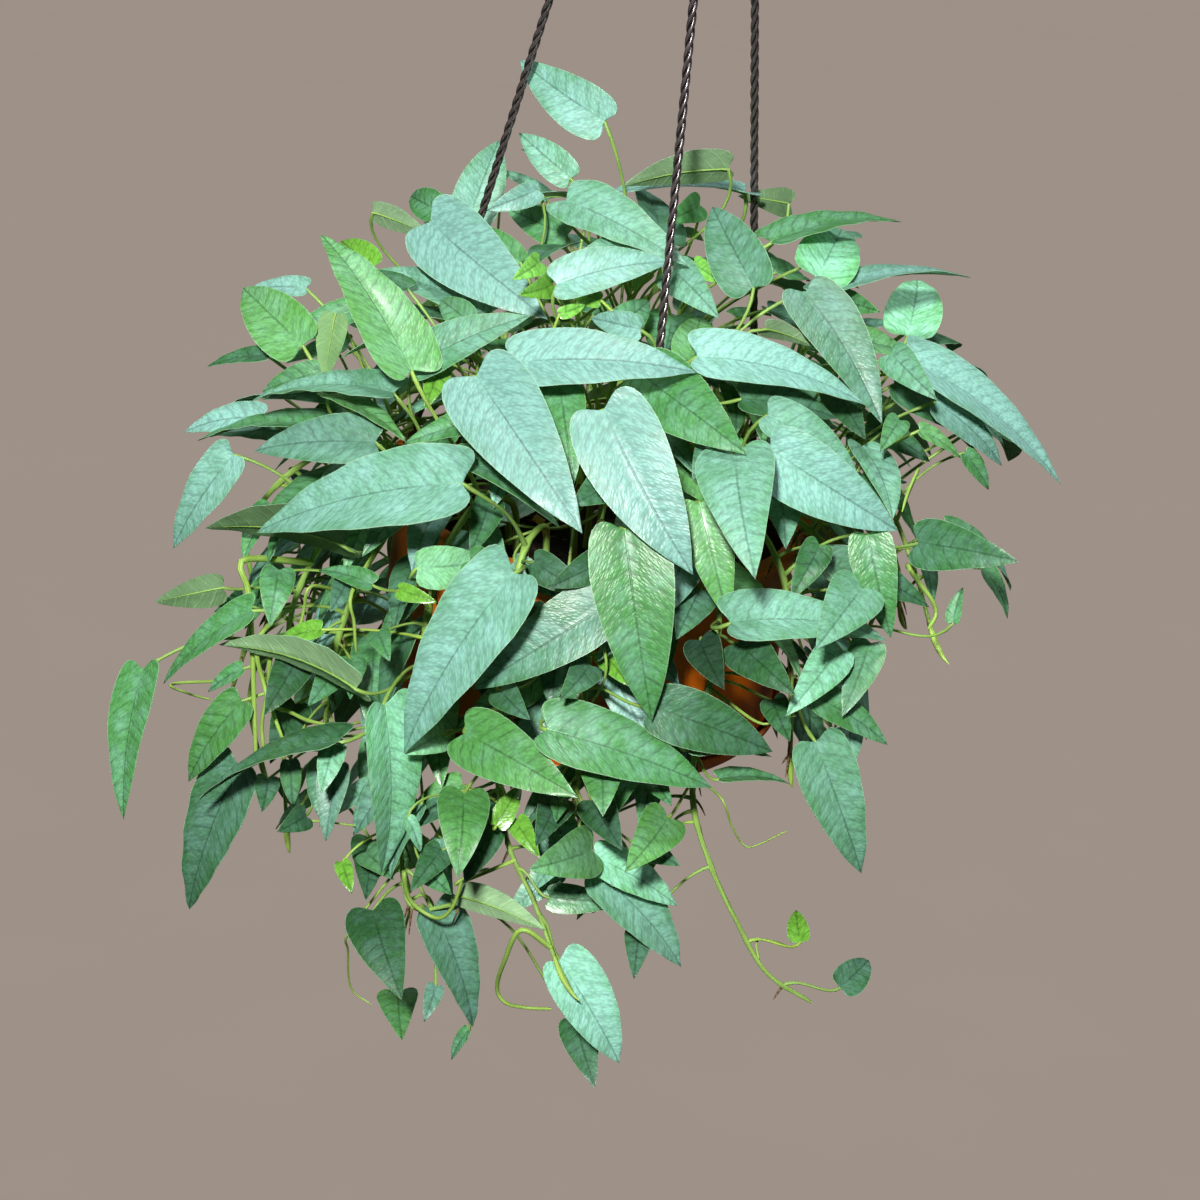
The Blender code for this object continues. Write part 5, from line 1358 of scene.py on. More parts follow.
stems = all_stems()
thicket = Thicket()
thicket.add("pot", "pot", *guard_turned(POT_PROFILE[1:-1]))
thicket.add("saucer", "pot", *guard_turned(SAUCER_PROFILE[1:]))
soil_top = SOIL_Z + SOIL_BUMP + 0.001
thicket.add("soil", "pot", *guard_turned(((WALL_TOP_RADIUS, soil_top), (0.0001, soil_top))))
for azimuth in STRAND_AZIMUTHS:
    top, low = strand_line(azimuth)
    route = [low, low.lerp(top, 0.03), low.lerp(top, 0.3), top]
    wide = STRAND_RADIUS + 0.001
    thicket.add("strand", "pot", *guard_tube(route, [BEAD_RADIUS + 0.001, wide, wide, wide]))
for name, route in stems.items():
    radii = [stem_radius(k, len(route)) + STEM_GUARD for k in range(len(route))]
    thicket.add(name, "stem", *guard_tube(route[1:], radii[1:]))
seen_leaves = place_seen(stems, thicket, LEAVES_SEEN)
leaves = seen_leaves + place_others(
    stems, thicket, seen_leaves, LEAVES_IN_ALL - len(seen_leaves), random.Random(11), filler_spots
)

# Small leaves that show between the large ones, in the same terms, and the bare shoots and tendrils: radius,
# how much nearer than the foliage's face each is, in millimetres, and its pixels
SMALL_SEEN = {
    "tangle_bright": (321, 629, 276, 643, 20, -8),
    "tangle_folded": (279, 570, 270, 627, 36, -12),
    "tangle_gloss": (334, 742, 321, 795, 28, -6),
    "tangle_green": (290, 761, 293, 806, 22, -8),
    "tangle_low": (306, 816, 277, 832, 28, -10),
    "tangle_narrow": (242, 668, 208, 692, 16, -8),
    "tangle_back": (243, 602, 214, 612, 34, -14),
    "tangle_upper": (372, 584, 318, 570, 22, -14),
    "tangle_round": (346, 583, 330, 612, 26, -16),
    "tangle_dull": (378, 632, 390, 662, 26, -16),
    "tangle_striped": (336, 668, 308, 706, 36, -14),
    "tangle_inner": (352, 660, 350, 700, 30, -20),
    "low_silver": (408, 818, 421, 853, 15, -12),
    "low_bright": (342, 862, 352, 894, 18, -18),
    "low_green": (366, 852, 394, 880, 30, -20),
    "low_tip": (560, 802, 556, 822, 20, -16),
    "low_curled": (655, 782, 672, 806, 22, -18),
    "crown_low": (470, 322, 440, 300, 34, -10),
    "crown_gap": (540, 262, 512, 280, 26, -16),
    "crown_yellow": (600, 300, 566, 290, 20, -14),
    "mid_dark": (490, 500, 470, 556, 34, -26),
    "mid_low": (600, 640, 566, 600, 30, -26),
    "mid_right": (700, 590, 676, 640, 44, -22),
    "right_dark": (820, 545, 790, 600, 34, -18),
    "right_far": (860, 478, 884, 512, 30, -16),
    "right_edge": (900, 420, 880, 452, 26, -12),
    "right_high": (842, 300, 880, 312, 26, -12),
    "right_gloom": (895, 384, 985, 440, 40, -16),
    "right_gloom_low": (868, 425, 930, 462, 30, -18),
    "wing_shade": (742, 398, 838, 418, 36, -18),
    "crown_back": (566, 236, 506, 208, 38, -18),
    "crown_back_low": (520, 262, 486, 226, 28, -20),
    "crown_right": (700, 205, 664, 222, 32, -20),
    "crown_strand": (612, 330, 650, 300, 34, -20),
    "side_gap": (772, 700, 790, 742, 30, -30),
    "rim_left": (470, 560, 520, 590, 36, -22),
    "rim_low": (548, 610, 520, 656, 34, -26),
    "wall_left": (500, 690, 530, 720, 34, -22),
    "wall_mid": (590, 665, 560, 700, 34, -24),
    "rim_mid": (604, 560, 548, 588, 34, -22),
    "win_young": (602, 652, 632, 688, 26, -22),
    "win_low": (480, 662, 500, 718, 28, -24),
    "skirt_under": (690, 748, 772, 757, 22, -10),
    "crown_light": (538, 190, 486, 211, 26, -4),
    "left_mid": (322, 372, 262, 392, 30, -10),
    "tail_mid": (436, 986, 424, 1022, 20, -30),
    "crown_small": (560, 314, 586, 304, 14, -16),
    "crown_edge": (694, 264, 726, 284, 22, -12),
    "left_shelf": (332, 397, 262, 400, 20, -14),
    "left_shelf_low": (300, 436, 206, 436, 26, -16),
    "right_nook": (835, 385, 866, 440, 40, -24),
    "nook_low": (640, 845, 680, 866, 32, -24),
    "hem_under": (560, 800, 536, 846, 40, -22),
    "hem_under_right": (592, 800, 622, 850, 40, -24),
    "low_nest": (372, 840, 366, 900, 44, -26),
    "low_nest_right": (442, 850, 410, 892, 32, -26),
    "skirt_gap": (492, 826, 464, 884, 36, -26),
    "tangle_far": (268, 778, 262, 812, 26, -16),
    # The two tangle_shade leaves, rim_shade, pot_shade_low and win_low are dark leaves put where the tangle
    # and the pot's wall lie in deep shade: painted shade.
    "tangle_shade": (300, 655, 264, 716, 40, -30),
    "tangle_shade_low": (296, 704, 270, 764, 40, -30),
    "rim_shade": (534, 562, 592, 596, 34, -16),
    "pot_shade_low": (700, 640, 724, 690, 40, -26),
}
SHOOTS = {
    "shoot_tall": (0.0017, -6, ((244, 560), (248, 590), (252, 640), (254, 698), (256, 758))),
    "shoot_second": (0.0014, -8, ((258, 640), (264, 685), (276, 721), (287, 750))),
    "shoot_third": (0.0014, -12, ((272, 650), (268, 690), (262, 722), (264, 752))),
    "shoot_level": (0.0011, -4, ((262, 678), (285, 677), (312, 673))),
    "shoot_slant": (0.0013, -10, ((276, 705), (290, 712), (307, 720), (330, 726))),
    "shoot_right": (0.0012, -12, ((352, 592), (354, 622), (356, 652))),
    "shoot_inner": (0.0011, -16, ((312, 586), (304, 610), (298, 634))),
    "shoot_left": (0.0008, -6, ((172, 684), (190, 694), (212, 700))),
    "tendril_left": (0.0007, -8, ((298, 812), (310, 820), (327, 822), (358, 826))),
    "tendril_low": (0.0007, -20, ((350, 930), (348, 951), (351, 988), (372, 1005))),
    "tendril_foot": (0.0010, -14, ((457, 884), (472, 874), (489, 868))),
    "loop": (0.0013, -18, ((521, 930), (504, 962), (497, 988), (506, 1003), (528, 1008), (552, 1009))),
    "tendril_hook": (0.0006, -20, ((721, 798), (731, 824), (741, 842), (752, 847), (787, 831))),
    "tendril_runner": (0.0006, -6, ((757, 941), (772, 941), (786, 945))),
    "arm_stub": (0.0015, -6, ((908, 566), (920, 584), (932, 600), (936, 615), (928, 629))),
    "pot_stalk": (0.0009, -24, ((757, 722), (778, 720), (796, 716))),
    "low_stem": (0.0013, -18, ((404, 872), (410, 900), (436, 918), (452, 908), (462, 880))),
    "right_stalk": (0.0010, -6, ((918, 470), (908, 492), (902, 512))),
}

SHOOT_OFFSETS = (0.0, -0.004, 0.004, -0.008, 0.008, -0.014, 0.014, -0.020, -0.028, -0.036)
SHOOT_FEET = 16


def place_shoot(entry):
    """A shoot from the nearest place on a stem that it can reach with room: its vine, radius and route."""
    radius, nearer, pixels = entry
    feet = []
    for name, route in stems.items():
        feet += [(name, a.lerp(b, t / 4)) for a, b in zip(route[1:], route[2:]) for t in range(5)]
    for offset in SHOOT_OFFSETS:
        knots = [seen_at(x, y, foliage_nearness(x, y) + nearer / 1000 + offset) for x, y in pixels]
        feet.sort(key=lambda foot: (foot[1] - knots[0]).length)
        for vine, foot in feet[:SHOOT_FEET]:
            path = smooth_path([foot] + knots, 8 * len(knots))
            guard = guard_tube(path, [radius + STEM_GUARD] * len(path))
            if thicket.room_for(vine, "stalk", *guard):
                thicket.add(vine, "stalk", *guard)
                return vine, radius, path
    return None


small_seen = place_seen(stems, thicket, SMALL_SEEN, 0.5)
leaves += small_seen
shown = seen_leaves + small_seen
shoots = [shoot for shoot in map(place_shoot, SHOOTS.values()) if shoot]


def bare_spots(draw):
    """Points just off the pot wherever its wall or rim would show, from the front and from all round."""
    screen = screen_of(leaves)
    wall = BVHTree.FromPolygons(*guard_turned(POT_PROFILE[1:-1]))
    sights = []
    for k in range(ROUND_TRIES):
        u, v = evenly(k)
        sights.append((EYE, (seen_at(380 + 440 * u, 440 + 360 * v, 0.0) - EYE).normalized()))
    for k in range(ROUND_TRIES):
        u, v = evenly(k)
        azimuth, height = 360.0 * u, 0.02 - 0.15 * v
        start = around(0.6, azimuth, height + 0.08)
        sights.append((start, (around(0.0, azimuth, height - 0.03) - start).normalized()))
    for start, toward in sights:
        spot, _, _, far = wall.ray_cast(start, toward)
        if spot and not screen.ray_cast(start, toward, far)[0]:
            yield spot - toward * draw.uniform(0.008, 0.040)


def gap_spots(draw):
    """Where small leaves still go: behind those that show, by the pot's wall, over the mix and all round."""
    yield from behind_shown(700, 0.012, 0.090, draw, (0.31, 0.17))
    for k in range(260):
        u, v = evenly(k)
        yield around(draw.uniform(0.035, 0.118), 360.0 * u, 0.002 + 0.075 * v)
    for k in range(ROUND_TRIES):
        u, v = evenly(k)
        height = -0.225 + 0.365 * u
        yield around(foliage_radius(height) * draw.uniform(0.62, 0.98), 360.0 * v, height)


# How many, their seed, where, their scale, how far between two places for roots they spring, and their name
for count, seed, spots, scale, shift, kind in (
    (COVER_LEAVES, 31, bare_spots, 0.62, 0.5, "cover_"),
    (SMALL_LEAVES, 29, gap_spots, 0.74, 0.25, "small_"),
):
    draw = random.Random(seed)
    leaves += place_others(stems, thicket, shown, count, draw, spots, scale, shift, kind, back=0.02)

# How silvery, how young and how bright a leaf of each tone is, and which leaves have it. The brightness is
# partly the leaf's own tone and partly painted light and shade.
# Leaves that lie in shade among the others are given raised brightness, as painted light, and those where the
# foliage and the pot lie in deep shade are given dark tones, down to near black, as painted shade.
TONES = {
    "silver": (1.00, 0.00, 0.78),
    "frost": (0.96, 0.00, 1.10),
    "blue": (0.88, 0.00, 0.86),
    "sage": (0.58, 0.06, 0.98),
    "cool": (0.50, 0.00, 0.70),
    "green": (0.14, 0.10, 0.90),
    "fresh": (0.28, 0.20, 0.86),
    "leafy": (0.06, 0.24, 0.90),
    "deep": (0.22, 0.00, 0.56),
    "dark": (0.15, 0.00, 0.40),
    # Near-black leaves put where the pot's wall lies in deep shade: painted shade.
    "gloom": (0.15, 0.00, 0.20),
    "mint": (0.80, 0.00, 0.92),
    "mist": (0.80, 0.03, 1.62),
    "calm": (0.42, 0.03, 0.82),
    "pale": (0.45, 0.05, 1.35),
    "light": (0.45, 0.08, 1.80),
    # Glossy young leaves made paler all over to stand for their white highlight: painted sheen.
    "painted_sheen": (0.70, 0.40, 1.62),
    "lime": (0.30, 0.85, 1.55),
    "bright": (0.30, 0.40, 1.10),
    "young": (0.05, 0.95, 1.10),
}
TONE_OF = {
    "silver": "brow heart_left heart_right brow_left crest_band crown_light",
    "frost": "wing_right spear_long sweep_right",
    "mint": "crest wing_left sleeve_left brow_mid",
    "mist": "pendant",
    "light": "heart_far heart_light skirt_left hem_pale",
    "calm": "cuff_left crest_dark mound_olive crest_olive",
    "blue": "left_blue left_curved mound_left_back spear_right mound_dark spear_short",
    "sage": "bowl_right side_fold brow_back shawl hip_right crest_left left_narrow hem_long crest_low "
            "edge_right sweep_upper mound_right",
    "cool": "tail_left shoulder_right ear_right left_broad tangle_round mid_right soil_leaf tail_mid "
            "apron",
    "green": "bib lap behind_brow collar_mid left_fin side_back left_outer",
    "leafy": "tail_young skirt_mid left_young hem_back hem_small left_small",
    "fresh": "crown_low low_green tangle_green crown_back_low skirt_under left_mid",
    "dark": "side_dark tail_far_left rim_mid right_nook tangle_shade tangle_shade_low hem_under "
            "hem_under_right low_nest skirt_gap rim_shade",
    "gloom": "pot_shade_low win_low",
    "deep": "tail_dark tail_shade left_dark left_flag runner_end skirt_right arm_right left_under "
            "mid_dark mid_low right_dark tangle_back tangle_low left_spear right_gloom wing_shade "
            "right_gloom_low rim_low wall_left wall_mid side_gap crest_right left_olive left_shelf "
            "left_shelf_low nook_low low_nest_right tangle_far",
    "pale": "tangle_gloss low_silver side_pale left_pale tail_pale",
    "bright": "hem_left flag_left behind_sleeve hem_gloss left_bright spear_bright mound_strand "
            "mound_left collar_dark",
    "painted_sheen": "gloss_left foot_gloss",
    "lime": "crown_gap crown_small crown_edge",
    "young": "left_yellow mound_yellow runner_young foot_small foot_right win_young left_inner "
            "tangle_bright low_bright crown_yellow",
}
tone_by_name = {name: tone for tone, names in TONE_OF.items() for name in names.split()}

# A blade's half outline, foot to tip: how far along the midrib and the edge are, and the half width
BLADE_KNOTS = (
    (0.000, -0.026, 0.190), (0.012, -0.058, 0.430), (0.045, -0.048, 0.680), (0.110, 0.020, 0.880),
    (0.220, 0.160, 0.990), (0.340, 0.300, 0.985), (0.470, 0.450, 0.900), (0.600, 0.590, 0.755),
    (0.730, 0.725, 0.565), (0.850, 0.850, 0.330), (0.940, 0.940, 0.128), (1.000, 1.000, 0.000),
)
BLADE_ROWS = smooth_path([Vector(knot) for knot in BLADE_KNOTS], 22)
SMALL_ROWS = smooth_path([Vector(knot) for knot in BLADE_KNOTS], 14)
SHELL = 0.00028  # half the thickness of a real blade
LARGE_BLADE = 0.055
GROOVE_DEPTH = 0.00045
GROOVE_WIDTH = 0.0016
STEM, TOP_SKIN, UNDER_SKIN, ROOT_SKIN = range(4)


class Growth:
    """The points, faces, skins and readings of one vine as it grows."""

    def __init__(self):
        self.points, self.faces, self.skins = [], [], []
        self.places, self.shares, self.tones = [], [], []

    def add(self, points, faces, skins, places, shares, tone):
        start = len(self.points)
        self.points += points
        self.faces += shifted(faces, start)
        self.skins += skins if isinstance(skins, list) else [skins] * len(faces)
        self.places += places
        self.shares += shares
        self.tones += [tone] * len(points)

    def tube(self, path, radii, sides, skin, seed, tone):
        points, faces, places = tube_shape(path, radii, sides)
        last = len(path) - 1
        shares = [(k // sides / last, 0.0, 0.0) for k in range(len(points))]
        self.add(points, faces, skin, [(run, girth, seed) for run, girth in places], shares, tone)


def blade_form(leaf):
    """What makes one leaf its own: a little sickle bend, uneven halves, ripples at the edge."""
    draw = random.Random(leaf["name"])
    length = (leaf["tip"] - leaf["base"]).length
    return {
        "length": length,
        "bend": draw.uniform(-0.018, 0.018) * length,
        "uneven": draw.uniform(-0.05, 0.05),
        "ripple": draw.uniform(0.2, 1.0) * 0.0006 * min(length / 0.08, 1.2),
        "waves": draw.uniform(2.2, 4.5),
        "phase": draw.uniform(0.0, 6.28),
        "hook": draw.uniform(-0.3, 1.0) * 0.012 * length,
        "taper": draw.uniform(0.0, 0.20),
        "seed": draw.uniform(0.0, 90.0),
    }


def blade_spot(leaf, form, middle, edge, half_share, v):
    """A point of the blade's middle surface, at a share v of the way from the midrib to an edge."""
    length = form["length"]
    w = abs(v)
    drawn_in = 1.0 - form["taper"] * 6.75 * middle * middle * (1.0 - middle)  # most at two thirds
    half = half_share * drawn_in * leaf["width"] / 2 * (1.0 + form["uneven"] * (1 if v > 0 else -1))
    along = middle + (edge - middle) * w ** 1.25
    crown = ARCH * length * 4 * max(along, 0.0) * (1 - along)
    rise = CUP * half * (1.35 * w - 0.35 * w * w)
    groove = GROOVE_DEPTH * math.exp(-((w * half / GROOVE_WIDTH) ** 2)) * min(1.0, 4 * (1 - middle))
    phase = form["waves"] * 6.28 * along + form["phase"] + (1.9 if v > 0 else 0)
    ripple = form["ripple"] * w ** 3 * math.sin(phase)
    fall = form["hook"] * max(along - 0.55, 0.0) ** 2 * 5
    bend = form["bend"] * 4 * max(along, 0.0) * (1 - along)
    return (
        leaf["base"] + (leaf["tip"] - leaf["base"]) * along
        + leaf["side"] * (v * half / max(w, 1e-9) * w + bend)
        + leaf["normal"] * (crown + rise - groove + ripple - fall)
    ), (MM * along * length, MM * v * half, form["seed"])


def grow_blade(growth, leaf, form, tone):
    """A leaf's blade: an upper and a lower skin that meet at a thin edge."""
    large = form["length"] > LARGE_BLADE
    cells = 6 if large else 4
    across = 2 * cells + 1
    rows = (BLADE_ROWS if large else SMALL_ROWS)[:-1]
    points, places, shares = [], [], []
    for sign in (1, -1):
        for k, (middle, edge, half) in enumerate(rows):
            for j in range(across):
                v = (j - cells) / cells
                v = math.copysign(1 - (1 - abs(v)) ** 1.35, v)
                spot, place = blade_spot(leaf, form, middle, edge, half, v)
                thin = SHELL * (1.0 - 0.55 * abs(v) ** 6)
                points.append(spot + leaf["normal"] * (sign * thin))
                places.append(place)
                shares.append((middle, abs(v), 1.0 if sign > 0 else 0.0))
    tip, place = blade_spot(leaf, form, 1.0, 1.0, 0.0, 0.0)
    points.append(tip)
    places.append(place)
    shares.append((1.0, 1.0, 1.0))
    low = across * len(rows)
    end = len(points) - 1
    faces, skins = [], []
    for k in range(len(rows) - 1):
        for j in range(across - 1):
            a = across * k + j
            b = low + a
            faces += [(a, a + 1, a + across + 1, a + across), (b, b + across, b + across + 1, b + 1)]
            skins += [TOP_SKIN, UNDER_SKIN]
        for a, b in ((across * k, across * (k + 1)), (across * (k + 2) - 1, across * (k + 1) - 1)):
            faces.append((a, b, low + b, low + a))
            skins.append(TOP_SKIN)
    for j in range(across - 1):
        a = across * (len(rows) - 1) + j
        faces += [(a, a + 1, end), (low + a + 1, low + a, end), (low + j, low + j + 1, j + 1, j)]
        skins += [TOP_SKIN, UNDER_SKIN, TOP_SKIN]
    last = across * (len(rows) - 1)
    faces += [(low + last, last, end), (last + across - 1, low + last + across - 1, end)]
    skins += [TOP_SKIN, TOP_SKIN]
    growth.add(points, faces, skins, places, shares, tone)


STALK_STEPS = 12
MIDRIB_STEPS = (0.05, 0.14, 0.27, 0.42, 0.58, 0.74, 0.88)


def grow_stalk(growth, leaf, form, tone):
    """A leaf's stalk, thick at its sheath and at the joint under the blade, and the midrib it runs on in."""
    curve = stalk_curve(leaf, leaf["base"] - leaf["normal"] * 0.0010)[0]
    slim = min(1.0, 0.62 + form["length"] / 0.25)
    path, radii = [], []
    for k in range(STALK_STEPS + 1):
        t = k / STALK_STEPS
        path.append(on_curve(*curve, t))
        sheath = 0.55 * math.exp(-((t / 0.14) ** 2))
        joint = 0.22 * math.exp(-(((t - 0.93) / 0.06) ** 2))
        radii.append(STALK_RADIUS * slim * (0.86 + sheath + joint))
    for middle in MIDRIB_STEPS:
        spot = blade_spot(leaf, form, middle, middle, 0.0, 0.0)[0]
        path.append(spot - leaf["normal"] * (SHELL + 0.0001))
        radii.append(STALK_RADIUS * slim * 0.62 * (1.05 - middle))
    growth.tube(path, radii, 7, STEM, form["seed"], tone)


SWELLING = 0.30
SWELLING_REACH = 0.0028


def node_swelling(path, spots):
    """How much a stem swells at each of its points for the nodes along it."""
    swollen = []
    for point in path:
        near = sum(math.exp(-(((point - spot).length / SWELLING_REACH) ** 2)) for spot in spots)
        swollen.append(1.0 + SWELLING * near)
    return swollen


BUD_LENGTHS = (0.030, 0.020, 0.011)


def bud_path(vine, route):
    """The rolled new leaf at a stem's end, which noses upward: shorter or none where it has no room."""
    end = route[-1]
    ahead = (end - route[-2]).normalized()
    for length in BUD_LENGTHS:
        path = [end - ahead * 0.003]
        for t in (0.10, 0.28, 0.46, 0.64, 0.80, 0.92, 1.0):
            path.append(end + ahead * (length * t) + Vector((0.0, 0.0, 0.35 * length * t * t)))
        guard = guard_tube(path[1:], [0.0020] * 7)
        if all(in_box(p) for p in path) and thicket.room_for(vine, "stalk", *guard):
            thicket.add(vine, "stalk", *guard)
            return path
    return None


ROOT_RADII = (0.0009, 0.0008, 0.0007, 0.0006, 0.00045, 0.0002)


def grow_root(growth, foot, toward, length, draw):
    """A short brown aerial root that noses down from a node."""
    path = []
    for k in range(6):
        t = k / 5
        path.append(foot + toward * (length * t) - Vector((0.0, 0.0, 0.55 * length * t * t)))
    growth.tube(path, ROOT_RADII, 6, ROOT_SKIN, draw.uniform(0, 90), (0.0, 0.0, 1.0))


def veins_group():
    """A blade's veins, from places in millimetres along and across it: side veins that sweep toward the tip,
    the midrib, the crinkled net between them and soft clouds of colour."""
    tree, given, gives = new_group(
        "leaf_veins",
        (("Place", "Vector"), ("Vein Spacing", "Float"), ("Crinkle Size", "Float")),
        (("Veins", "Float"), ("Midrib", "Float"), ("Net", "Float"), ("Cloud", "Float"), ("Height", "Float")),
    )
    place = given.outputs["Place"]
    wander = noise_over(tree, place, 0.085, 2.0)
    parts = put(tree, "SeparateXYZ", {0: place})
    x, y, seed = parts.outputs["X"], parts.outputs["Y"], parts.outputs["Z"]
    out = sums(tree, "ABSOLUTE", y)
    lean = sums(tree, "MULTIPLY_ADD", out, 0.018, 0.50)
    swept = sums(tree, "SUBTRACT", x, sums(tree, "MULTIPLY", out, lean))
    stagger = sums(tree, "MULTIPLY_ADD", sums(tree, "SIGN", y), 0.21, seed)
    turns = sums(tree, "DIVIDE", swept, given.outputs["Vein Spacing"])
    phase = sums(tree, "ADD", sums(tree, "MULTIPLY_ADD", wander, 0.9, turns), stagger)
    from_vein = sums(tree, "PINGPONG", phase, 0.5)
    here = noise_over(tree, place, 0.13, 1.0)
    clear = between(tree, here, 0.34, 0.62, 0.25, 1.0)
    main = sums(tree, "MULTIPLY", between(tree, from_vein, 0.130, 0.020), clear)
    drawn = put(tree, "CombineXYZ", {0: swept, 1: sums(tree, "MULTIPLY", y, 0.78), 2: seed}).outputs[0]
    fine = sums(tree, "MULTIPLY", given.outputs["Crinkle Size"], 2.1)
    grain = noise_over(tree, drawn, fine, 2.0, Distortion=0.8)
    net_place = {"Vector": drawn, "Scale": given.outputs["Crinkle Size"]}
    cells = put(tree, "TexVoronoi", net_place).outputs["Distance"]
    pillow = between(tree, cells, 0.70, 0.08)
    crinkle = sums(tree, "MULTIPLY_ADD", pillow, 0.55, sums(tree, "MULTIPLY", grain, 0.45))
    net = between(tree, cells, 0.38, 0.80)
    cloud = noise_over(tree, place, 0.07, 4.0, Roughness=0.62)
    midrib = between(tree, out, 0.72, 0.12)
    puffed = between(tree, here, 0.30, 0.70, 0.10, 0.50)
    swell = sums(tree, "MULTIPLY", between(tree, from_vein, 0.0, 0.42), puffed)
    low = sums(tree, "MULTIPLY_ADD", crinkle, 0.75, swell)
    height = sums(tree, "MULTIPLY_ADD", midrib, -0.6, low)
    linked(tree, gives, Veins=main, Midrib=midrib, Net=net, Cloud=cloud, Height=height)
    return tree


VEINS = veins_group()
VEIN_SPACING = 7.2  # millimetres
CRINKLE_SIZE = 0.62
GREEN = (0.090, 0.330, 0.105)
SILVER = (0.300, 0.625, 0.530)
YOUNG = (0.165, 0.440, 0.045)
PALE_EDGE = (0.430, 0.660, 0.430)
UNDER_GREEN = (0.150, 0.330, 0.110)
UNDER_SILVER = (0.420, 0.580, 0.400)
UNDER_YOUNG = (0.250, 0.420, 0.080)
STEM_GREEN = (0.270, 0.460, 0.100)
STEM_YOUNG = (0.400, 0.620, 0.100)
STEM_AGED = (0.230, 0.200, 0.080)
ROOT_DARK = (0.090, 0.050, 0.024)
ROOT_PALE = (0.300, 0.200, 0.100)


def carried(tree, name):
    """What each point of the plant carries: blade_place (millimetres), blade_share or leaf_tone."""
    return put(tree, "Attribute", attribute_name=name).outputs["Vector"]


def carried_parts(tree, name):
    """The three parts of what each point carries."""
    return put(tree, "SeparateXYZ", {0: carried(tree, name)}).outputs


def blade_veins(tree):
    """The veins of a blade, from its places."""
    sizes = {"Vein Spacing": VEIN_SPACING, "Crinkle Size": CRINKLE_SIZE}
    return put(tree, "Group", {"Place": carried(tree, "blade_place"), **sizes}, node_tree=VEINS).outputs


def shaded(tree, colour, amount):
    """A colour made lighter or darker by an amount."""
    grey = put(tree, "CombineColor", {0: amount, 1: amount, 2: amount}).outputs[0]
    sockets = {0: 1.0, 6: colour, 7: grey}
    return put(tree, "Mix", sockets, data_type="RGBA", blend_type="MULTIPLY").outputs[2]


def blade_top_material():
    """A blade's upper face: silvered blue-green, darker in its veins, paler at its edge, satin to glossy,
    with painted sheen, light and shade in its colour.
    """
    made, tree, shader = new_material("leaf_upper", specular_ior_level=0.62, coat_roughness=0.16)
    look = blade_veins(tree)
    along, outward = carried_parts(tree, "blade_share")[:2]
    silver, youth, bright = carried_parts(tree, "leaf_tone")
    patchy = sums(tree, "ADD", between(tree, look["Cloud"], 0.30, 0.72, -0.22, 0.22), silver)
    # Greener toward the edge and more silver over the middle: partly the leaf's own colour, partly a painted
    # sheen over the blade's middle.
    edge_green_middle_sheen = sums(tree, "ADD", between(tree, outward, 0.55, 0.97, 0.06, -0.14), patchy)
    grown = blended(tree, put(tree, "Clamp", {0: edge_green_middle_sheen}).outputs[0], GREEN, SILVER)
    base = blended(tree, youth, grown, YOUNG)
    # The colour follows the crinkled relief: painted highlight on the raised cells and puffs, painted shade
    # in the net's creases, the veins' hollows and the midrib's groove.
    painted_relief_light = between(tree, look["Height"], 0.15, 0.85, 0.92, 1.11)
    net_crease_shade = sums(tree, "MULTIPLY_ADD", look["Net"], -0.16, painted_relief_light)
    vein_depth = between(tree, silver, 0.30, 0.90, -0.25, -0.12)
    in_veins = sums(tree, "MULTIPLY_ADD", look["Veins"], vein_depth, net_crease_shade)
    rib_depth = between(tree, along, 0.02, 0.30, 0.10, -0.27)
    in_rib = sums(tree, "MULTIPLY_ADD", look["Midrib"], rib_depth, in_veins)
    # The tone's brightness, partly painted light and shade, scales the colour.
    lit = shaded(tree, base, sums(tree, "MULTIPLY", in_rib, bright))
    edged = blended(tree, between(tree, outward, 0.970, 0.998, 0.0, 0.60), lit, PALE_EDGE)
    satin = between(tree, look["Cloud"], 0.3, 0.7, 0.36, 0.46)
    veined = sums(tree, "MULTIPLY_ADD", look["Veins"], 0.10, satin)
    rough = sums(tree, "MULTIPLY_ADD", youth, -0.12, veined)
    finished(tree, shader, edged, rough, look["Height"], 0.45, 0.0005)
    linked(tree, shader, Coat_Weight=sums(tree, "MULTIPLY", youth, 0.7))
    return made


def blade_under_material():
    """A blade's underside: dull grey-green with raised paler veins, scaled by its tone's brightness, which is
    partly painted light and shade.
    """
    made, tree, shader = new_material("leaf_under", specular_ior_level=0.35)
    look = blade_veins(tree)
    silver, youth, bright = carried_parts(tree, "leaf_tone")
    base = blended(tree, youth, blended(tree, silver, UNDER_GREEN, UNDER_SILVER), UNDER_YOUNG)
    mottle = between(tree, look["Cloud"], 0.30, 0.70, 0.86, 1.12)
    raised = sums(tree, "MULTIPLY_ADD", look["Net"], 0.25, sums(tree, "MULTIPLY", look["Veins"], 0.7))
    veined = sums(tree, "MULTIPLY_ADD", raised, 0.30, mottle)
    # The tone's brightness, partly painted light and shade, scales the colour.
    lit = shaded(tree, base, sums(tree, "MULTIPLY", veined, bright))
    finished(tree, shader, lit, between(tree, look["Cloud"], 0.3, 0.7, 0.50, 0.64), raised, 0.5, 0.0005)
    return made


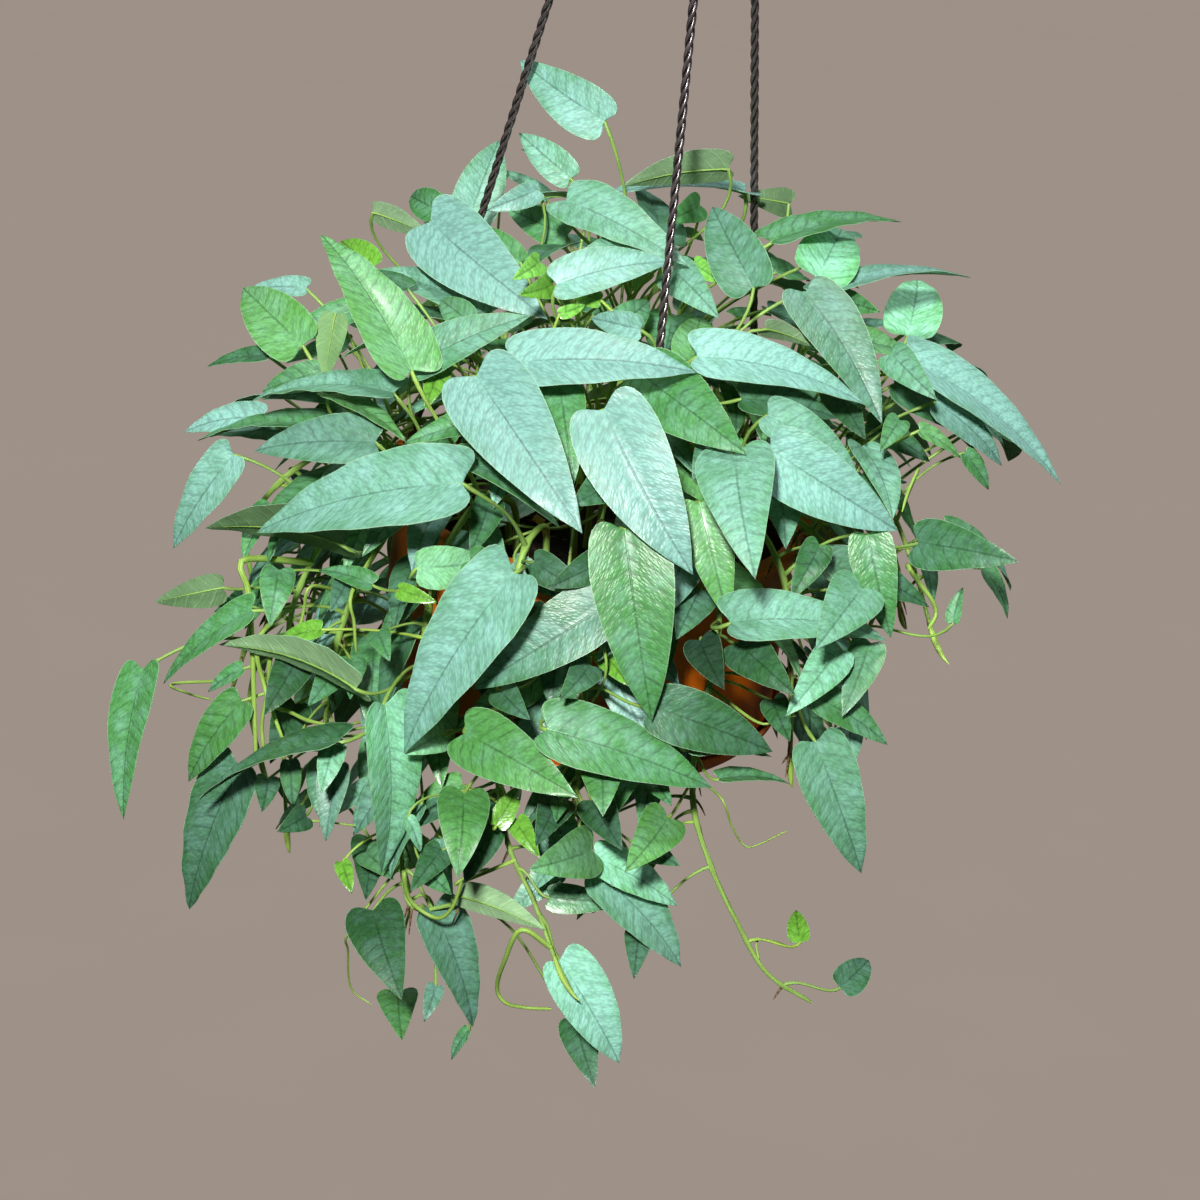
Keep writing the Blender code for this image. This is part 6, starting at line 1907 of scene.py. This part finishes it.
def stem_material():
    """Stems and stalks: yellow-green, finely ribbed lengthwise, browner in patches."""
    made, tree, shader = new_material("stem_green", specular_ior_level=0.5)
    place = carried(tree, "blade_place")
    drawn = put(tree, "Mapping", {"Vector": place, "Scale": (0.06, 2.2, 1.0)}).outputs[0]
    ribs = noise_over(tree, drawn, 1.0, 3.0)
    cloud = noise_over(tree, place, 0.09, 4.0)
    green = blended(tree, carried_parts(tree, "leaf_tone")["Y"], STEM_GREEN, STEM_YOUNG)
    ribbed = shaded(tree, green, between(tree, ribs, 0.3, 0.7, 0.78, 1.18))
    aged = blended(tree, between(tree, cloud, 0.54, 0.76, 0.0, 0.45), ribbed, STEM_AGED)
    finished(tree, shader, aged, between(tree, ribs, 0.3, 0.7, 0.38, 0.52), ribs, 0.4, 0.0003)
    return made


def root_material():
    """Aerial roots and dry sheaths: papery brown."""
    made, tree, shader = new_material("aerial_root", specular_ior_level=0.25)
    fibre = noise_over(tree, carried(tree, "blade_place"), 0.8, 4.0)
    papery = blended(tree, between(tree, fibre, 0.3, 0.7), ROOT_DARK, ROOT_PALE)
    finished(tree, shader, papery, between(tree, fibre, 0.3, 0.7, 0.7, 0.9), fibre, 0.5, 0.0003)
    return made


vine_skins = [stem_material(), blade_top_material(), blade_under_material(), root_material()]
# The tones that the leaves placed by rule are drawn from; the cover leaves that hide the pot's wall are
# mostly deep in tone, as painted shade
PLACED_TONES = {
    "fill": ("silver", "blue", "sage", "sage", "green", "green", "deep", "bright"),
    "cover": ("deep", "deep", "green", "cool"),
    "small": ("sage", "cool", "green", "green", "deep", "fresh", "bright", "young"),
}
spread = random.Random(23)
for leaf in leaves:
    name = leaf["name"]
    kind = name.split("_")[0]
    tone = spread.choice(PLACED_TONES[kind]) if kind in PLACED_TONES else tone_by_name.get(name, "green")
    silver, youth, bright = TONES[tone]
    leaf["tone"] = (silver + spread.uniform(-0.08, 0.08), youth, bright * spread.uniform(0.94, 1.06))

STEM_STEP = 0.0028
STEM_TONE = (0.3, 0.15, 1.0)
BUD_TONE = (0.1, 0.8, 1.1)
SHOOT_TONE = (0.2, 0.5, 1.05)
BUD_RADII = [0.0013 * girth for girth in (0.85, 1.15, 1.30, 1.20, 0.95, 0.65, 0.35, 0.10)]
ROOTED_SHARE = 0.55
for name, route in stems.items():
    growth = Growth()
    draw = random.Random(name)
    own = [leaf for leaf in leaves if leaf["vine"] == name]
    run = sum((q - p).length for p, q in zip(route[1:], route[2:]))
    count = max(16, round(run / STEM_STEP))
    path = [route[0]] + smooth_path(route[1:], count)
    swelling = node_swelling(path, [leaf["root"] for leaf in own])
    thin = [stem_radius(k, len(path)) * 0.92 for k in range(len(path))]
    bud = None if name == "runner_right" else bud_path(name, route)
    thin[-1], thin[-2] = 0.45 * thin[-1], 0.85 * thin[-2]
    swollen = [radius * swell for radius, swell in zip(thin, swelling)]
    growth.tube(path, swollen, 9, STEM, draw.uniform(0, 90), STEM_TONE)
    if bud:
        growth.tube(bud, BUD_RADII, 9, STEM, draw.uniform(0, 90), BUD_TONE)
    for vine_name, radius, shoot in shoots:
        if vine_name == name:
            slim = [radius * (1.15 - 0.5 * k / (len(shoot) - 1)) for k in range(len(shoot))]
            slim[-1] = 0.4 * slim[-1]
            growth.tube(shoot, slim, 7, STEM, draw.uniform(0, 90), SHOOT_TONE)
    for leaf in own:
        form = blade_form(leaf)
        grow_blade(growth, leaf, form, leaf["tone"])
        grow_stalk(growth, leaf, form, leaf["tone"])
        if draw.random() < ROOTED_SHARE:
            toward = (leaf["root"] - leaf["base"]).normalized()
            toward = Vector((toward.x, toward.y, -0.6 - draw.random())).normalized()
            grow_root(growth, leaf["root"], toward, draw.uniform(0.004, 0.010), draw)
    vine = new_piece(name + "_growth", growth.points, growth.faces, vine_skins, sharp=62.0)
    vine.data.polygons.foreach_set("material_index", growth.skins)
    readings = {"blade_place": growth.places, "blade_share": growth.shares, "leaf_tone": growth.tones}
    for title, values in readings.items():
        reading = vine.data.attributes.new(title, "FLOAT_VECTOR", "POINT")
        reading.data.foreach_set("vector", np.array(values, dtype=np.float32).ravel())
    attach(vine, "root")
    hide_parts(name)

# Floor and light. A plain pale floor far below the plant, under an even sun, with walls of its colour.
# A small bright lamp near the camera lights the plant, whose depths stay dark, as the floor throws nothing
# back at it. Three broad soft lamps, to its right, left and back, light the sides turned from the camera.
FLOOR_Z = -3.0
FLOOR_HALF = 24.0
FLOOR_COLOUR = (0.805, 0.667, 0.577)
FLOOR_PALE = (0.817, 0.678, 0.588)
WALL_COLOUR = (0.342, 0.283, 0.246)
floor_points = [(x * FLOOR_HALF, y * FLOOR_HALF, FLOOR_Z) for x, y in ((-1, -1), (1, -1), (1, 1), (-1, 1))]
floor_paint, floor_tree, floor_shader = new_material("floor_paint", roughness=0.9, specular_ior_level=0.2)
speck = put(floor_tree, "TexNoise", {"Vector": put(floor_tree, "TexCoord").outputs["Object"], "Scale": 3.0})
speckled = blended(floor_tree, between(floor_tree, speck.outputs[0], 0.3, 0.7), FLOOR_COLOUR, FLOOR_PALE)
linked(floor_tree, floor_shader, Base_Color=speckled)
floor = new_piece("floor", floor_points, [(0, 1, 2, 3)], [floor_paint])
floor.visible_diffuse = False
floor.visible_glossy = False
floor.visible_shadow = False
plant_only = bpy.data.collections.new("plant_only")
plant_only.objects.link(floor)
plant_only.collection_objects[0].light_linking.link_state = "EXCLUDE"


def lamp(name, place, target, size, power, colour, shines=False):
    """A lamp aimed at a point. One that doesn't shine lights surfaces without a gleam of its own on them."""
    light = bpy.data.lights.new(name, "AREA")
    light.shape = "RECTANGLE"
    light.size, light.size_y = size
    light.energy = power
    light.color = colour
    made = bpy.data.objects.new(name, light)
    made.light_linking.receiver_collection = plant_only
    made.visible_glossy = shines
    made.location = place
    made.rotation_euler = (Vector(target) - Vector(place)).to_track_quat("-Z", "Y").to_euler()
    bpy.context.scene.collection.objects.link(made)


PLANT_MIDDLE = (0.0, 0.0, -0.6)
WHITE = (1.0, 1.0, 1.0)
WARM_WHITE = (1.0, 0.99, 0.97)
SKY_COLOUR = (0.92, 0.95, 1.0)
SKY_STRENGTH = 0.025
lamp("key_lamp", (-0.33, -2.33, 1.04), (0.0, 0.0, -0.55), (0.20, 0.20), 104.0, WARM_WHITE, True)
lamp("left_lamp", (-1.9, 0.5, -0.3), PLANT_MIDDLE, (0.9, 0.9), 7.0, WHITE)
lamp("right_lamp", (1.9, 0.7, -0.4), PLANT_MIDDLE, (0.9, 0.9), 7.0, WHITE)
lamp("back_lamp", (-0.3, 2.1, -0.3), PLANT_MIDDLE, (1.2, 0.8), 26.0, WHITE)
sun = bpy.data.lights.new("even_sun", "SUN")
sun.energy = 1.26
sun.angle = math.radians(12.0)
sun_stand = bpy.data.objects.new("even_sun", sun)
sun_stand.rotation_euler = Vector((0.05, 0.02, -1.0)).to_track_quat("-Z", "Y").to_euler()
bpy.context.scene.collection.objects.link(sun_stand)
sky = bpy.data.worlds.new("studio")
sky.use_nodes = True
sky_tree = sky.node_tree
seen = put(sky_tree, "LightPath").outputs["Is Camera Ray"]
linked(
    sky_tree,
    sky_tree.nodes["Background"],
    Color=blended(sky_tree, seen, SKY_COLOUR, WALL_COLOUR),
    Strength=between(sky_tree, seen, 0.0, 1.0, SKY_STRENGTH, 1.0),
)
bpy.context.scene.world = sky
bpy.context.scene.view_settings.view_transform = "Standard"
